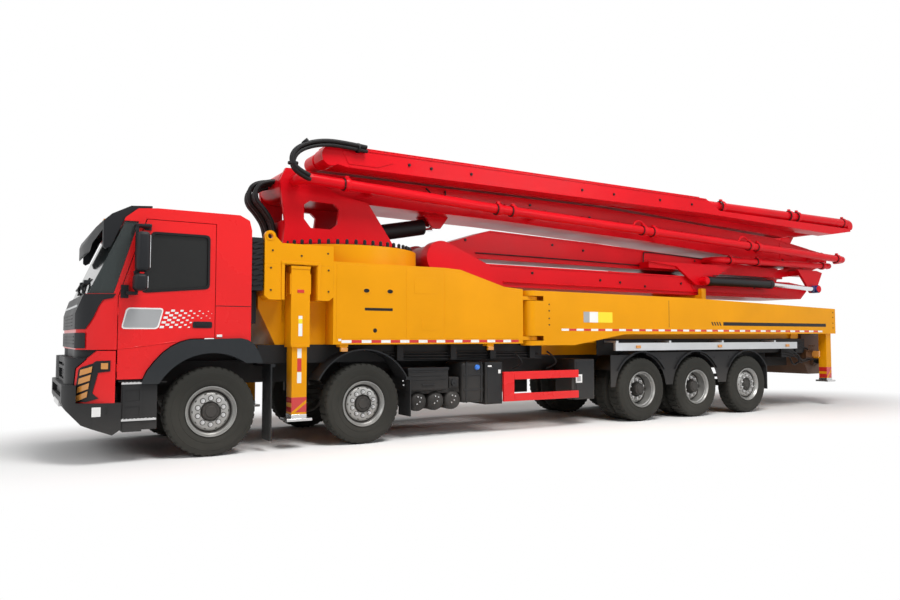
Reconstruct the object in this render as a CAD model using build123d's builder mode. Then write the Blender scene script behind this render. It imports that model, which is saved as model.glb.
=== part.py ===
from build123d import *
from math import atan2, cos, degrees, hypot, radians, sin
import os

os.makedirs("parts", exist_ok=True)

# Five-axle truck-mounted concrete pump, boom folded for the road. Millimetres.
# +X is forward, +Y is the truck's left, +Z is up; the origin is on the ground,
# midway along the whole length.

# ---- running gear ----
axle_1_x = 6377.6
wheelbase_12 = 1995
wheelbase_13 = 7175
tandem_34 = 1370
tandem_45 = 1420
axle_2_x = axle_1_x - wheelbase_12
axle_3_x = axle_1_x - wheelbase_13
axle_4_x = axle_3_x - tandem_34
axle_5_x = axle_4_x - tandem_45
tyre_radius = 537
tyre_width = 300
rim_radius = 308
twin_gap = 45
hub_radius = 150
half_track_face = 1240
seat_gap = 0.3
running_gap = 8
kingpin_y = 800
kingpin_radius = 40

# ---- chassis ----
frame_half_width = 420
frame_top = 1120
frame_depth = 300
frame_web = 75
frame_front_x = axle_1_x + 1250
frame_rear_x = axle_5_x - 2400
axle_beam_radius = 75

# ---- cab ----
cab_front_x = axle_1_x + 1450
cab_rear_x = axle_1_x - 460
cab_half_width = 1240
cab_wall = 50
cab_floor = 950
cab_belt = 1930
cab_roof = 2930
door_front_x = axle_1_x + 1050
door_rear_x = axle_1_x - 20
door_gap = 8
door_thick = 50
glass_thick = 12

# ---- superstructure ----
half_width = 1250
deck_bottom = 1330
deck_top = 2420
deck_rear_low = 2160
deck_front_x = axle_1_x - 1550
deck_slope_x = axle_1_x - 3250
deck_rear_x = axle_1_x - 4640
side_box_width = 640
housing_front_x = axle_1_x - 620
housing_rear_x = axle_1_x - 1540
slew_x = axle_1_x - 2130
slew_radius = 1000
skirt_radius = 1160
skirt_top = 2680

# ---- front outriggers ----
front_jack_x = axle_1_x - 1095
front_jack_size = 250
front_jack_y = 1118
front_arm_height = 300
front_arm_bottom = 1960
front_arm_depth = 300
front_reach = 1400
front_jack_top = 2340

# ---- rear outriggers ----
rear_hinge_x = axle_1_x - 4890
rear_hinge_y = 1100
rear_beam_end_x = axle_1_x - 12840
rear_beam_width = 300
rear_jack_x = axle_1_x - 12680
jack_drop = 350
rear_ear_levels = (1380, 2000)
rear_ear_height = 60
rear_pin_radius = 45
pad_half = 165
pad_thick = 30

# ---- boom ----
lane = 12
pipe_radius = 75
pin_radius = 60


def side_plate(outline, y_low, y_high, mode=Mode.ADD, round_by=0):
    """A side profile, given as x and z, from y_low to y_high."""
    with BuildSketch(Plane.XZ.offset(-y_high)) as profile:
        with BuildLine():
            Polyline(*outline, close=True)
        make_face()
        if round_by:
            fillet(profile.vertices(), round_by)
    extrude(profile.sketch, amount=y_high - y_low, mode=mode)


def plan_plate(outline, z_low, z_high, mode=Mode.ADD):
    """A plan profile, given as x and y, from z_low to z_high."""
    with BuildSketch(Plane.XY.offset(z_low)) as profile:
        with BuildLine():
            Polyline(*outline, close=True)
        make_face()
    extrude(profile.sketch, amount=z_high - z_low, mode=mode)


def block(x_low, x_high, y_low, y_high, z_low, z_high, mode=Mode.ADD):
    """A plain box between two corners."""
    with Locations(((x_low + x_high) / 2, (y_low + y_high) / 2, (z_low + z_high) / 2)):
        Box(x_high - x_low, y_high - y_low, z_high - z_low, mode=mode)


def cross_pin(x, z, y_low, y_high, radius, mode=Mode.ADD):
    """A round bar or bore across the truck."""
    with Locations((x, (y_low + y_high) / 2, z)):
        Cylinder(radius, y_high - y_low, rotation=(90, 0, 0), mode=mode)


def upright(x, y, z_low, z_high, radius, mode=Mode.ADD):
    """A vertical round bar or bore."""
    with Locations((x, y, (z_low + z_high) / 2)):
        Cylinder(radius, z_high - z_low, mode=mode)


def bar(start, end, radius, mode=Mode.ADD):
    """A straight round bar between two points."""
    along = Vector(*end) - Vector(*start)
    with BuildSketch(Plane(origin=start, z_dir=along)) as ring:
        Circle(radius)
    extrude(ring.sketch, amount=along.length, mode=mode)


def pipe(points, radius, bend):
    """A pipe or hose along straight runs joined by tangent arcs."""
    with BuildLine() as route:
        FilletPolyline(*points, radius=bend)
    with BuildSketch(Plane(origin=points[0], z_dir=route.line % 0)) as ring:
        Circle(radius)
    sweep(ring.sketch, path=route.line)


def save(piece, node):
    """Label one finished piece and write its file."""
    piece.part.label = node
    export_step(piece.part, f"parts/{node}.step")


# ---- wheels: tyre and rim as two solids a hair apart ----
# name, axle x, side, twin
wheels = (
    ("wheel_1_left", axle_1_x, 1, False),
    ("wheel_1_right", axle_1_x, -1, False),
    ("wheel_2_left", axle_2_x, 1, False),
    ("wheel_2_right", axle_2_x, -1, False),
    ("wheel_3_left", axle_3_x, 1, True),
    ("wheel_3_right", axle_3_x, -1, True),
    ("wheel_4_left", axle_4_x, 1, True),
    ("wheel_4_right", axle_4_x, -1, True),
    ("wheel_5_left", axle_5_x, 1, False),
    ("wheel_5_right", axle_5_x, -1, False),
)
tyre_in = half_track_face - tyre_width
twin_in = tyre_in - twin_gap - tyre_width


def tyre_ring(x, side, inner):
    """One tyre, its inner wall at the distance inner from the middle."""
    outer = inner + tyre_width
    crown = tyre_radius - 25
    bead = rim_radius + seat_gap
    outline = (
        (bead, inner + 35), (bead, outer - 35), (bead + 55, outer - 6),
        (crown - 45, outer), (crown, outer - 10), (tyre_radius, outer - 38),
        (tyre_radius, inner + 38), (crown, inner + 10), (crown - 45, inner),
        (bead + 55, inner + 6),
    )
    with BuildSketch(Plane(origin=(x, 0, tyre_radius), x_dir=(1, 0, 0), z_dir=(0, 0, 1))) as half:
        with BuildLine():
            Polyline(*[(r, side * y) for r, y in outline], close=True)
        make_face()
    revolve(half.sketch, axis=Axis((x, 0, tyre_radius), (0, 1, 0)))


def rim_ring(x, side, inner, disc_y, dish_y):
    """One rim: a well with flanges, and a disc with hand holes at disc_y."""
    outer = inner + tyre_width
    barrel = rim_radius - 30
    outline = (
        (rim_radius, inner + 28), (rim_radius, outer - 28), (rim_radius - 8, outer - 22),
        (barrel, outer - 30), (barrel, disc_y + 12), (hub_radius + 60, dish_y + 14),
        (hub_radius, dish_y + 14), (hub_radius, dish_y - 6), (hub_radius + 60, dish_y - 6),
        (barrel, disc_y - 12), (barrel, inner + 30), (rim_radius - 8, inner + 22),
    )
    with BuildSketch(Plane(origin=(x, 0, tyre_radius), x_dir=(1, 0, 0), z_dir=(0, 0, 1))) as half:
        with BuildLine():
            Polyline(*[(r, side * y) for r, y in outline], close=True)
        make_face()
    revolve(half.sketch, axis=Axis((x, 0, tyre_radius), (0, 1, 0)))


for node, x, side, twin in wheels:
    with BuildPart() as wheel:
        tyre_ring(x, side, tyre_in)
        if twin:
            tyre_ring(x, side, twin_in)
            rim_ring(x, side, tyre_in, tyre_in + 40, tyre_in - twin_gap / 2 + 6)
            rim_ring(x, side, twin_in, twin_in + tyre_width - 40, tyre_in - twin_gap / 2 - 14)
            hub_out = tyre_in + 165
            hub_in = twin_in + 60
        else:
            rim_ring(x, side, tyre_in, tyre_in + tyre_width - 95, tyre_in + tyre_width - 62)
            hub_out = tyre_in + tyre_width - 20
            hub_in = tyre_in + 40
        ends = sorted((side * hub_in, side * hub_out))
        cross_pin(x, tyre_radius, ends[0], ends[1], hub_radius)
    save(wheel, node)
hub_inner_single = tyre_in + 40
hub_inner_twin = twin_in + 60

# ---- chassis frame ----
with BuildPart() as chassis_frame:
    for side in (1, -1):
        inner, outer = sorted((side * (frame_half_width - frame_web), side * frame_half_width))
        block(frame_rear_x, frame_front_x, inner, outer, frame_top - frame_depth, frame_top)
    # cross members
    for x in (axle_1_x + 1150, axle_1_x - 700, axle_2_x + 695, axle_2_x - 705, axle_2_x - 1905,
              axle_3_x + 1975, axle_3_x + 775, axle_3_x - 685, axle_4_x - 705, axle_5_x - 735,
              frame_rear_x + 165):
        block(x - 50, x + 50, -frame_half_width + 1, frame_half_width - 1,
              frame_top - frame_depth + 60, frame_top - 60)
save(chassis_frame, "chassis_frame")

engine_top = 1330
with BuildPart() as engine_block:
    block(axle_1_x - 560, axle_1_x + 900, -300, 300, 700, engine_top)
    block(axle_1_x + 900, axle_1_x + 1080, -frame_half_width + frame_web + 0.3,
          frame_half_width - frame_web - 0.3, frame_top - frame_depth + 20, frame_top)
save(engine_block, "engine_block")

# ---- axles on their springs; the steered ones end in kingpin bosses ----
boss_radius = 75
boss_height = 150
pin_bore_slack = 0.08
spring_half = 560
# axle x, half length of the tube, steered
axles = (
    (axle_1_x, kingpin_y, True),
    (axle_2_x, kingpin_y, True),
    (axle_3_x, hub_inner_twin - seat_gap, False),
    (axle_4_x, hub_inner_twin - seat_gap, False),
    (axle_5_x, hub_inner_single - seat_gap, False),
)
with BuildPart() as axle_beams:
    for x, half_length, steered in axles:
        cross_pin(x, tyre_radius, -half_length, half_length, axle_beam_radius - 10)
        if not steered:
            with Locations((x, 0, tyre_radius)):
                Sphere(200)
        for side in (1, -1):
            low, high = sorted((side * (frame_half_width - frame_web), side * frame_half_width))
            block(x - 60, x + 60, low, high, tyre_radius, tyre_radius + 130)
            block(x - spring_half, x + spring_half, low, high, tyre_radius + 100, tyre_radius + 160)
            for end in (1, -1):
                block(x + end * (spring_half - 40) - 40, x + end * (spring_half - 40) + 40,
                      low, high, tyre_radius + 150, frame_top - frame_depth - seat_gap)
            if steered:
                upright(x, side * kingpin_y, tyre_radius - boss_height / 2,
                        tyre_radius + boss_height / 2, boss_radius)
    for x, half_length, steered in axles:
        if steered:
            for side in (1, -1):
                upright(x, side * kingpin_y, tyre_radius - boss_height, tyre_radius + boss_height,
                        kingpin_radius + pin_bore_slack, mode=Mode.SUBTRACT)
save(axle_beams, "axle_beams")

ear_gap = 6
ear_height = 45
# name, axle x, side
knuckles = (
    ("knuckle_1_left", axle_1_x, 1),
    ("knuckle_1_right", axle_1_x, -1),
    ("knuckle_2_left", axle_2_x, 1),
    ("knuckle_2_right", axle_2_x, -1),
)
for node, x, side in knuckles:
    ear_low = boss_height / 2 + ear_gap
    ear_high = ear_low + ear_height
    web_in = kingpin_y + boss_radius + running_gap
    web_out = hub_inner_single - 50
    with BuildPart() as knuckle:
        upright(x, side * kingpin_y, tyre_radius - ear_high, tyre_radius + ear_high, kingpin_radius)
        for level in (1, -1):
            low, high = sorted((tyre_radius + level * ear_low, tyre_radius + level * ear_high))
            upright(x, side * kingpin_y, low, high, boss_radius)
            y_low, y_high = sorted((side * kingpin_y, side * web_out))
            block(x - boss_radius, x + boss_radius, y_low, y_high, low, high)
        y_low, y_high = sorted((side * web_in, side * web_out))
        block(x - boss_radius, x + boss_radius, y_low, y_high,
              tyre_radius - ear_high, tyre_radius + ear_high)
        y_low, y_high = sorted((side * web_out, side * (hub_inner_single - seat_gap)))
        cross_pin(x, tyre_radius, y_low, y_high, 70)
    save(knuckle, node)

# ---- cab ----
arch_radius = 700
cab_nose_bottom = 1285
cab_floor_top = 1465
cab_skin_floor = 1415
screen_foot_z = 1880
screen_head_z = 2800
corner_start_x = axle_1_x + 1090
corner_mid = (axle_1_x + 1345, cab_half_width - 155)
nose_half = 560


def cab_form(inset):
    """The cab's outer form, moved in by inset all round."""
    side_outline = (
        (cab_front_x, cab_floor), (cab_front_x, 1700), (cab_front_x - 60, screen_foot_z),
        (cab_front_x - 460, screen_head_z), (cab_front_x - 590, cab_roof - 20),
        (cab_front_x - 800, cab_roof), (cab_rear_x + 150, cab_roof),
        (cab_rear_x + 30, cab_roof - 60), (cab_rear_x, cab_roof - 180), (cab_rear_x, cab_floor),
    )
    reach = cab_half_width + max(0, -inset)
    with BuildSketch(Plane.XZ.offset(-reach)) as profile:
        with BuildLine():
            Polyline(*side_outline, close=True)
        make_face()
        if inset:
            offset(amount=-inset, kind=Kind.INTERSECTION, mode=Mode.REPLACE)
    extrude(profile.sketch, amount=2 * reach)
    with BuildSketch(Plane.XY.offset(cab_floor - 10)) as plan:
        with BuildLine():
            Line((cab_rear_x, -cab_half_width), (corner_start_x, -cab_half_width))
            ThreePointArc((corner_start_x, -cab_half_width), (corner_mid[0], -corner_mid[1]),
                          (cab_front_x, -nose_half))
            Line((cab_front_x, -nose_half), (cab_front_x, nose_half))
            ThreePointArc((cab_front_x, nose_half), corner_mid, (corner_start_x, cab_half_width))
            Line((corner_start_x, cab_half_width), (cab_rear_x, cab_half_width))
            Line((cab_rear_x, cab_half_width), (cab_rear_x, -cab_half_width))
        make_face()
        if inset:
            offset(amount=-inset, kind=Kind.INTERSECTION, mode=Mode.REPLACE)
    extrude(plan.sketch, amount=cab_roof, mode=Mode.INTERSECT)


def screen_opening(margin, mode):
    """The windscreen's outline, seen from the side and wrapping both corners."""
    side_plate(
        ((axle_1_x + 1100 - margin, screen_foot_z + 40 - margin), (cab_front_x + 100, screen_foot_z + 40 - margin),
         (cab_front_x + 100, screen_head_z - 40 + margin), (axle_1_x + 850 - margin, screen_head_z - 40 + margin)),
        -cab_half_width - 20, cab_half_width + 20, mode=mode)


def flare_outline(margin):
    """The wheel arch trim's outer edge, grown by margin."""
    return (
        (axle_1_x + 815 + margin, 300), (axle_1_x + 795 + margin, 930), (axle_1_x + 745 + margin, 1040),
        (axle_1_x + 665 + margin, 1150 + margin / 2), (axle_1_x + 575 + margin, 1250 + margin / 2),
        (axle_1_x + 480 + margin / 2, 1325 + margin), (axle_1_x + 375 + margin / 2, 1380 + margin),
        (axle_1_x + 260, 1410 + margin), (axle_1_x - 330, 1425 + margin),
        (axle_1_x - 420 - margin / 2, 1405 + margin), (axle_1_x - 500 - margin / 2, 1345 + margin / 2),
        (axle_1_x - 565 - margin, 1250 + margin / 2), (axle_1_x - 615 - margin, 1120),
        (axle_1_x - 615 - margin, 300),
    )


def door_outline(margin):
    """The door's side outline, grown by margin."""
    return (
        (door_front_x + margin, cab_floor - 2 * margin), (door_front_x + margin, screen_foot_z),
        (door_front_x - 290 + margin, 2790 + margin), (door_rear_x - margin, 2790 + margin),
        (door_rear_x - margin, cab_floor - 2 * margin),
    )


hinge_levels = (1080, 1720)
door_window = (
    (door_front_x - 250, cab_belt + 15), (door_rear_x + 77, cab_belt + 85),
    (door_rear_x + 77, 2640), (door_front_x - 345, 2640),
)
with BuildPart() as cab_cavity:
    cab_form(cab_wall)
    block(cab_rear_x - 10, cab_front_x + 10, -cab_half_width, cab_half_width, cab_floor - 10,
          cab_floor_top, mode=Mode.SUBTRACT)
with BuildPart() as under_floor:
    cab_form(cab_wall)
    block(cab_rear_x - 10, cab_front_x + 10, -cab_half_width, cab_half_width, cab_floor - 20,
          cab_skin_floor, mode=Mode.INTERSECT)
with BuildPart() as cab_shell:
    cab_form(0)
    add(cab_cavity.part, mode=Mode.SUBTRACT)
    add(under_floor.part, mode=Mode.SUBTRACT)
    block(cab_rear_x - 10, door_front_x + door_gap + 1, -cab_half_width + cab_wall,
          cab_half_width - cab_wall, cab_floor - 20, cab_skin_floor, mode=Mode.SUBTRACT)
    side_plate(flare_outline(-25), -cab_half_width - 10, cab_half_width + 10, mode=Mode.SUBTRACT)
    block(cab_rear_x - 10, axle_1_x, -cab_half_width - 10, cab_half_width + 10, cab_floor - 20,
          frame_top + seat_gap, mode=Mode.SUBTRACT)
    block(door_front_x + door_gap, cab_front_x + 10, -cab_half_width - 10, cab_half_width + 10,
          cab_floor - 20, cab_nose_bottom, mode=Mode.SUBTRACT)
    for side in (1, -1):
        low, high = sorted((side * (cab_half_width - cab_wall - 1), side * (cab_half_width + 10)))
        side_plate(door_outline(door_gap), low, high, mode=Mode.SUBTRACT)
    screen_opening(0, Mode.SUBTRACT)
save(cab_shell, "cab_shell")

with BuildPart() as screen_inner:
    cab_form(18 + glass_thick)
with BuildPart() as windscreen:
    cab_form(18)
    add(screen_inner.part, mode=Mode.SUBTRACT)
    screen_opening(-0.3, Mode.INTERSECT)
save(windscreen, "windscreen")

# name, side
for name, side in (("left", 1), ("right", -1)):
    low, high = sorted((side * (cab_half_width - door_thick), side * cab_half_width))
    with BuildPart() as cab_door:
        side_plate(door_outline(0), low, high)
        side_plate(door_window, low - 10, high + 10, mode=Mode.SUBTRACT, round_by=45)
        side_plate(flare_outline(0), low - 10, high + 10, mode=Mode.SUBTRACT)
        for z in hinge_levels:
            low, high = sorted((side * (cab_half_width - 45), side * (cab_half_width - 8)))
            block(door_front_x - 5, door_front_x + door_gap - seat_gap, low, high, z - 45, z + 45)
            upright(door_front_x, side * cab_half_width, z - 45, z + 45, door_gap - seat_gap)
    save(cab_door, f"cab_door_{name}")
    pane_low, pane_high = sorted((side * (cab_half_width - 30), side * (cab_half_width - 30 + glass_thick)))
    with BuildPart() as door_glass:
        with BuildSketch(Plane.XZ.offset(-pane_high)) as pane:
            with BuildLine():
                Polyline(*door_window, close=True)
            make_face()
            fillet(pane.vertices(), 45)
            offset(amount=-0.3, kind=Kind.INTERSECTION, mode=Mode.REPLACE)
        extrude(pane.sketch, amount=glass_thick)
    save(door_glass, f"door_glass_{name}")

# seats, engine tunnel, dashboard and steering wheel
inside_half = cab_half_width - cab_wall - 20
with BuildPart() as cab_interior:
    block(axle_1_x - 380, cab_front_x - 130, -330, 330, cab_floor_top + 0.3, cab_floor_top + 160)
    side_plate(((axle_1_x + 1080, cab_floor_top + 0.3), (cab_front_x - 120, cab_floor_top + 0.3),
                (cab_front_x - 130, 1800), (axle_1_x + 1180, 1880), (axle_1_x + 1020, 1800)),
               -860, 860)
    for side in (1, -1):
        y = side * 640
        block(axle_1_x + 60, axle_1_x + 560, y - 250, y + 250, cab_floor_top + 0.3, 1900)
        side_plate(((axle_1_x + 60, 1850), (axle_1_x + 200, 1850), (axle_1_x + 60, 2500),
                    (axle_1_x - 60, 2500)), y - 240, y + 240)
    bar((axle_1_x + 1060, 640, 1800), (axle_1_x + 800, 640, 2038), 28)
    with Locations(Location((axle_1_x + 810, 640, 2030), (0, -47.5, 0))):
        Torus(215, 16)
        Box(60, 420, 14)
save(cab_interior, "cab_interior")


def nose_plan(outset, tail_x, z_low, z_high, mode, reach=0):
    """The nose's rounded plan, moved out by outset and forward by reach, from tail_x forward."""
    front_x = cab_front_x + reach
    mid_x = corner_mid[0] + 0.7 * reach
    with BuildSketch(Plane.XY.offset(z_low)) as plan:
        with BuildLine():
            Line((tail_x, -cab_half_width), (corner_start_x, -cab_half_width))
            ThreePointArc((corner_start_x, -cab_half_width), (mid_x, -corner_mid[1]), (front_x, -nose_half))
            Line((front_x, -nose_half), (front_x, nose_half))
            ThreePointArc((front_x, nose_half), (mid_x, corner_mid[1]), (corner_start_x, cab_half_width))
            Line((corner_start_x, cab_half_width), (tail_x, cab_half_width))
            Line((tail_x, cab_half_width), (tail_x, -cab_half_width))
        make_face()
        if outset:
            offset(amount=outset, kind=Kind.INTERSECTION, mode=Mode.REPLACE)
    extrude(plan.sketch, amount=z_high - z_low, mode=mode)


# ---- nose: cowl mask, corner panels, grille, bumper, lamps, sun visor ----
nose_reach = 50
nose_out = cab_half_width + 60
bumper_top = 890
bumper_front_x = cab_front_x + 130
corner_bottom = 690 + seat_gap
corner_top = cab_nose_bottom - 12
lower_front_z = 1190
corner_outline = (
    (axle_1_x + 1068, 600), (axle_1_x + 1068, corner_top), (axle_1_x + 1255, corner_top),
    (axle_1_x + 1335, lower_front_z + 5), (axle_1_x + 1445, 1075), (axle_1_x + 1480, 600),
)
bezel_outline = (
    (axle_1_x + 1462, 705), (axle_1_x + 1425, 1062), (axle_1_x + 1400, 1092), (axle_1_x + 1290, 1135),
    (axle_1_x + 1265, 1160), (axle_1_x + 1120, 1165), (axle_1_x + 1120, 1045), (axle_1_x + 1240, 1030),
    (axle_1_x + 1290, 800), (axle_1_x + 1230, 745), (axle_1_x + 1350, 705),
)
with BuildPart() as front_panel:
    nose_plan(15, axle_1_x + 1000, corner_bottom, corner_top, Mode.ADD, nose_reach)
    nose_plan(-70, axle_1_x + 900, corner_bottom - 5, corner_top + 5, Mode.SUBTRACT, nose_reach)
    side_plate(corner_outline, -nose_out, nose_out, mode=Mode.INTERSECT)
    block(cab_front_x, cab_front_x + 200, -nose_out, nose_out, corner_bottom - 5, bumper_top + seat_gap,
          mode=Mode.SUBTRACT)
    block(axle_1_x, cab_front_x + 200, -nose_half, nose_half, corner_bottom - 5, corner_top + 5,
          mode=Mode.SUBTRACT)
    side_plate(bezel_outline, -nose_out, nose_out, mode=Mode.SUBTRACT)
save(front_panel, "front_panel")

with BuildPart() as nose_mask:
    cab_form(-12)
    with BuildPart(mode=Mode.PRIVATE) as cab_body:
        cab_form(-seat_gap)
    add(cab_body.part, mode=Mode.SUBTRACT)
    with BuildPart(mode=Mode.PRIVATE) as mask_field:
        side_plate(((axle_1_x + 1078, 1915), (axle_1_x + 1108, 1870), (axle_1_x + 1205, 1848),
                    (axle_1_x + 1250, 1770), (axle_1_x + 1295, 1650), (axle_1_x + 1368, 1518),
                    (cab_front_x + 200, 1518), (cab_front_x + 200, 1915)), -nose_out, nose_out)
        side_plate(((axle_1_x + 1368, 1302), (axle_1_x + 1368, 1476), (cab_front_x + 200, 1476),
                    (cab_front_x + 200, 1302)), -nose_out, nose_out)
    add(mask_field.part, mode=Mode.INTERSECT)
with BuildPart() as lamp_bezel:
    nose_plan(22, axle_1_x + 1000, 600, corner_top, Mode.ADD, nose_reach)
    nose_plan(-40, axle_1_x + 900, 590, corner_top + 5, Mode.SUBTRACT, nose_reach)
    with BuildPart(mode=Mode.PRIVATE) as bezel_field:
        with BuildSketch(Plane.XZ.offset(-nose_out)) as field:
            with BuildLine():
                Polyline(*bezel_outline, close=True)
            make_face()
            offset(amount=-0.3, kind=Kind.INTERSECTION, mode=Mode.REPLACE)
        extrude(field.sketch, amount=2 * nose_out)
    add(bezel_field.part, mode=Mode.INTERSECT)
    block(cab_front_x, cab_front_x + 200, -nose_out, nose_out, 500, bumper_top + seat_gap,
          mode=Mode.SUBTRACT)
with BuildPart() as lower_grille:
    nose_plan(22, axle_1_x + 1000, bumper_top + seat_gap, lower_front_z, Mode.ADD, nose_reach)
    side_plate(((axle_1_x + 1348, lower_front_z + 5), (axle_1_x + 1456, 1080), (axle_1_x + 1475, 850),
                (cab_front_x + 200, 850), (cab_front_x + 200, lower_front_z + 5)), -nose_out, nose_out,
               mode=Mode.INTERSECT)
    nose_plan(-75, axle_1_x + 1070, lower_front_z - 1, cab_nose_bottom - seat_gap, Mode.ADD, nose_reach)
    # slots: z low, z high, half width
    for z_low, z_high, half in ((925, 1045, 520), (1085, 1120, 560)):
        block(cab_front_x + 40, cab_front_x + 140, -half, half, z_low, z_high, mode=Mode.SUBTRACT)
with BuildPart() as grille:
    add(nose_mask.part)
    add(lamp_bezel.part)
    add(lower_grille.part)
save(grille, "grille")

with BuildPart() as bumper:
    side_plate(((bumper_front_x, bumper_top), (bumper_front_x, 690), (bumper_front_x - 35, 610),
                (axle_1_x + 1400, 450), (axle_1_x + 1090, 330), (axle_1_x + 1000, 390),
                (axle_1_x + 1000, 690), (cab_front_x + 1, 690), (cab_front_x + 1, bumper_top)),
               -nose_out, nose_out)
    nose_plan(80, axle_1_x + 600, 200, 1000, Mode.INTERSECT, nose_reach)
    block(axle_1_x + 900, cab_front_x + 200, -cab_half_width - 15, cab_half_width + 15, 200, 1000,
          mode=Mode.INTERSECT)
    block(axle_1_x + 900, axle_1_x + 1330, -cab_half_width + 80, cab_half_width - 80, 300, 630,
          mode=Mode.SUBTRACT)
    block(cab_front_x + 80, cab_front_x + 200, -760, 760, 740, 850, mode=Mode.SUBTRACT)
    for side in (1, -1):
        low, high = sorted((side * (frame_half_width - frame_web), side * frame_half_width))
        block(frame_front_x + seat_gap, cab_front_x + 2, low, high, 640, bumper_top)
save(bumper, "bumper")

rear_lamp_x = frame_rear_x
with BuildPart() as lamps:
    nose_plan(34, axle_1_x + 1000, 700, 1170, Mode.ADD, nose_reach)
    nose_plan(22.3, axle_1_x + 890, 690, 1180, Mode.SUBTRACT, nose_reach)
    with BuildPart(mode=Mode.PRIVATE) as slats:
        for step in range(4):
            front_x = axle_1_x + 1410 + 11 * step
            back_x = axle_1_x + 1298 + 13 * step
            front_z = 1062 - 97 * step
            back_z = 1102 - 92 * step
            side_plate(((front_x, front_z), (back_x, back_z), (back_x + 8, back_z - 66),
                        (front_x + 8, front_z - 66)), -nose_out, nose_out)
        side_plate(((axle_1_x + 1145, 1070), (axle_1_x + 1215, 1070), (axle_1_x + 1215, 1138),
                    (axle_1_x + 1145, 1138)), -nose_out, nose_out)
    add(slats.part, mode=Mode.INTERSECT)
    block(cab_front_x, cab_front_x + 200, -nose_out, nose_out, 500, bumper_top + seat_gap,
          mode=Mode.SUBTRACT)
    for side in (1, -1):
        low, high = sorted((side * 760.3, side * 1150))
        block(rear_lamp_x - 60.3, rear_lamp_x - 20.3, low, high, 1020, 1140)
save(lamps, "lamps")

visor_half = cab_half_width - 50
visor_top = (
    (axle_1_x + 700, cab_roof + 28), (axle_1_x + 930, cab_roof + 12), (axle_1_x + 1130, 2835),
    (axle_1_x + 1270, 2700), (axle_1_x + 1345, 2545), (axle_1_x + 1335, 2440), (axle_1_x + 1305, 2440),
)
with BuildPart() as sun_visor:
    side_plate((*visor_top, (axle_1_x + 1290, 2530), (axle_1_x + 1215, 2665), (axle_1_x + 1080, 2795),
                (axle_1_x + 900, 2880), (axle_1_x + 700, cab_roof - 10)), -visor_half, visor_half)
    for side in (1, -1):
        low, high = sorted((side * (visor_half - 35), side * visor_half))
        side_plate((*visor_top[1:], (axle_1_x + 1230, 2462), (axle_1_x + 1190, 2430), (axle_1_x + 1100, 2480),
                    (axle_1_x + 985, 2560), (axle_1_x + 900, 2700)), low, high)
    with BuildPart(mode=Mode.PRIVATE) as visor_field:
        with BuildSketch(Plane.XY.offset(2300)) as visor_plan:
            with BuildLine():
                Line((axle_1_x + 690, -visor_half), (axle_1_x + 1215, -visor_half))
                ThreePointArc((axle_1_x + 1215, -visor_half), (axle_1_x + 1346, 0), (axle_1_x + 1215, visor_half))
                Line((axle_1_x + 1215, visor_half), (axle_1_x + 690, visor_half))
                Line((axle_1_x + 690, visor_half), (axle_1_x + 690, -visor_half))
            make_face()
        extrude(visor_plan.sketch, amount=900)
    add(visor_field.part, mode=Mode.INTERSECT)
    add(cab_body.part, mode=Mode.SUBTRACT)
save(sun_visor, "sun_visor")

for name, side in (("left", 1), ("right", -1)):
    face = side * (cab_half_width + seat_gap + 25)
    with BuildPart() as mirror:
        low, high = sorted((side * 1330, side * 1550))
        block(axle_1_x + 800, axle_1_x + 895, low, high, 2180, 2630)
        block(axle_1_x + 800, axle_1_x + 895, low, high, 1960, 2140)
        low, high = sorted((side * (cab_half_width + seat_gap), side * 1412))
        block(axle_1_x + 880, axle_1_x + 910, side * 1400 - 12, side * 1400 + 12, 1930, 2715)
        block(axle_1_x + 735, axle_1_x + 908, low, high, 2680, 2710)
        block(axle_1_x + 882, axle_1_x + 985, low, high, 1900, 1935)
    save(mirror, f"mirror_{name}")

# ---- arch trim, steps, mud flaps ----
with BuildPart() as cab_trim:
    for side in (1, -1):
        low, high = sorted((side * (cab_half_width + seat_gap), side * (cab_half_width + 35)))
        side_plate(flare_outline(-10), low, high)
        low, high = sorted((side * (cab_half_width - 160), side * (cab_half_width + 1)))
        side_plate(flare_outline(-26), low, high)
    cross_pin(axle_1_x, tyre_radius, -nose_out, nose_out, arch_radius, mode=Mode.SUBTRACT)
    block(axle_1_x - 1000, axle_1_x, -nose_out, nose_out, 200, 1110, mode=Mode.SUBTRACT)
    block(axle_1_x, axle_1_x + 1000, -nose_out, nose_out, 200, cab_floor - 60, mode=Mode.SUBTRACT)
save(cab_trim, "cab_trim")

step_front_x = axle_1_x + 985
step_rear_x = axle_1_x + 780
with BuildPart() as cab_steps:
    for side in (1, -1):
        low, high = sorted((side * 880, side * 1235))
        block(step_rear_x, step_front_x, low, high, 355, cab_floor - 65)
        # treads: z low of each recess, z high
        for z_low, z_high in ((470, 640), (700, 830)):
            low, high = sorted((side * 1030, side * 1300))
            block(step_rear_x + 25, step_front_x - 25, low, high, z_low, z_high, mode=Mode.SUBTRACT)
        low, high = sorted((side * (frame_half_width + seat_gap), side * 900))
        block(step_front_x - 60, step_front_x, low, high, 840, 885)
        low, high = sorted((side * (frame_half_width + seat_gap), side * 1240))
        block(axle_1_x - 775, axle_1_x - 735, low, high, 1050, 1090)
        low, high = sorted((side * 900, side * 1240))
        block(axle_1_x - 735, axle_1_x - 715, low, high, 130, 1090)
save(cab_steps, "cab_steps")

with BuildPart() as air_intake:
    block(axle_1_x - 600, cab_rear_x - 3, 900, 1245, 2010, 2670)
    block(axle_1_x - 600, cab_rear_x - 60, 345, 420, frame_top + seat_gap, 1700)
    block(axle_1_x - 600, cab_rear_x - 60, 345, 960, 1600, 2100)
    for step in range(9):
        z = 2050 + step * 66
        block(axle_1_x - 610, cab_rear_x + 10, 1225, 1260, z, z + 30, mode=Mode.SUBTRACT)
save(air_intake, "air_intake")

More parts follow.
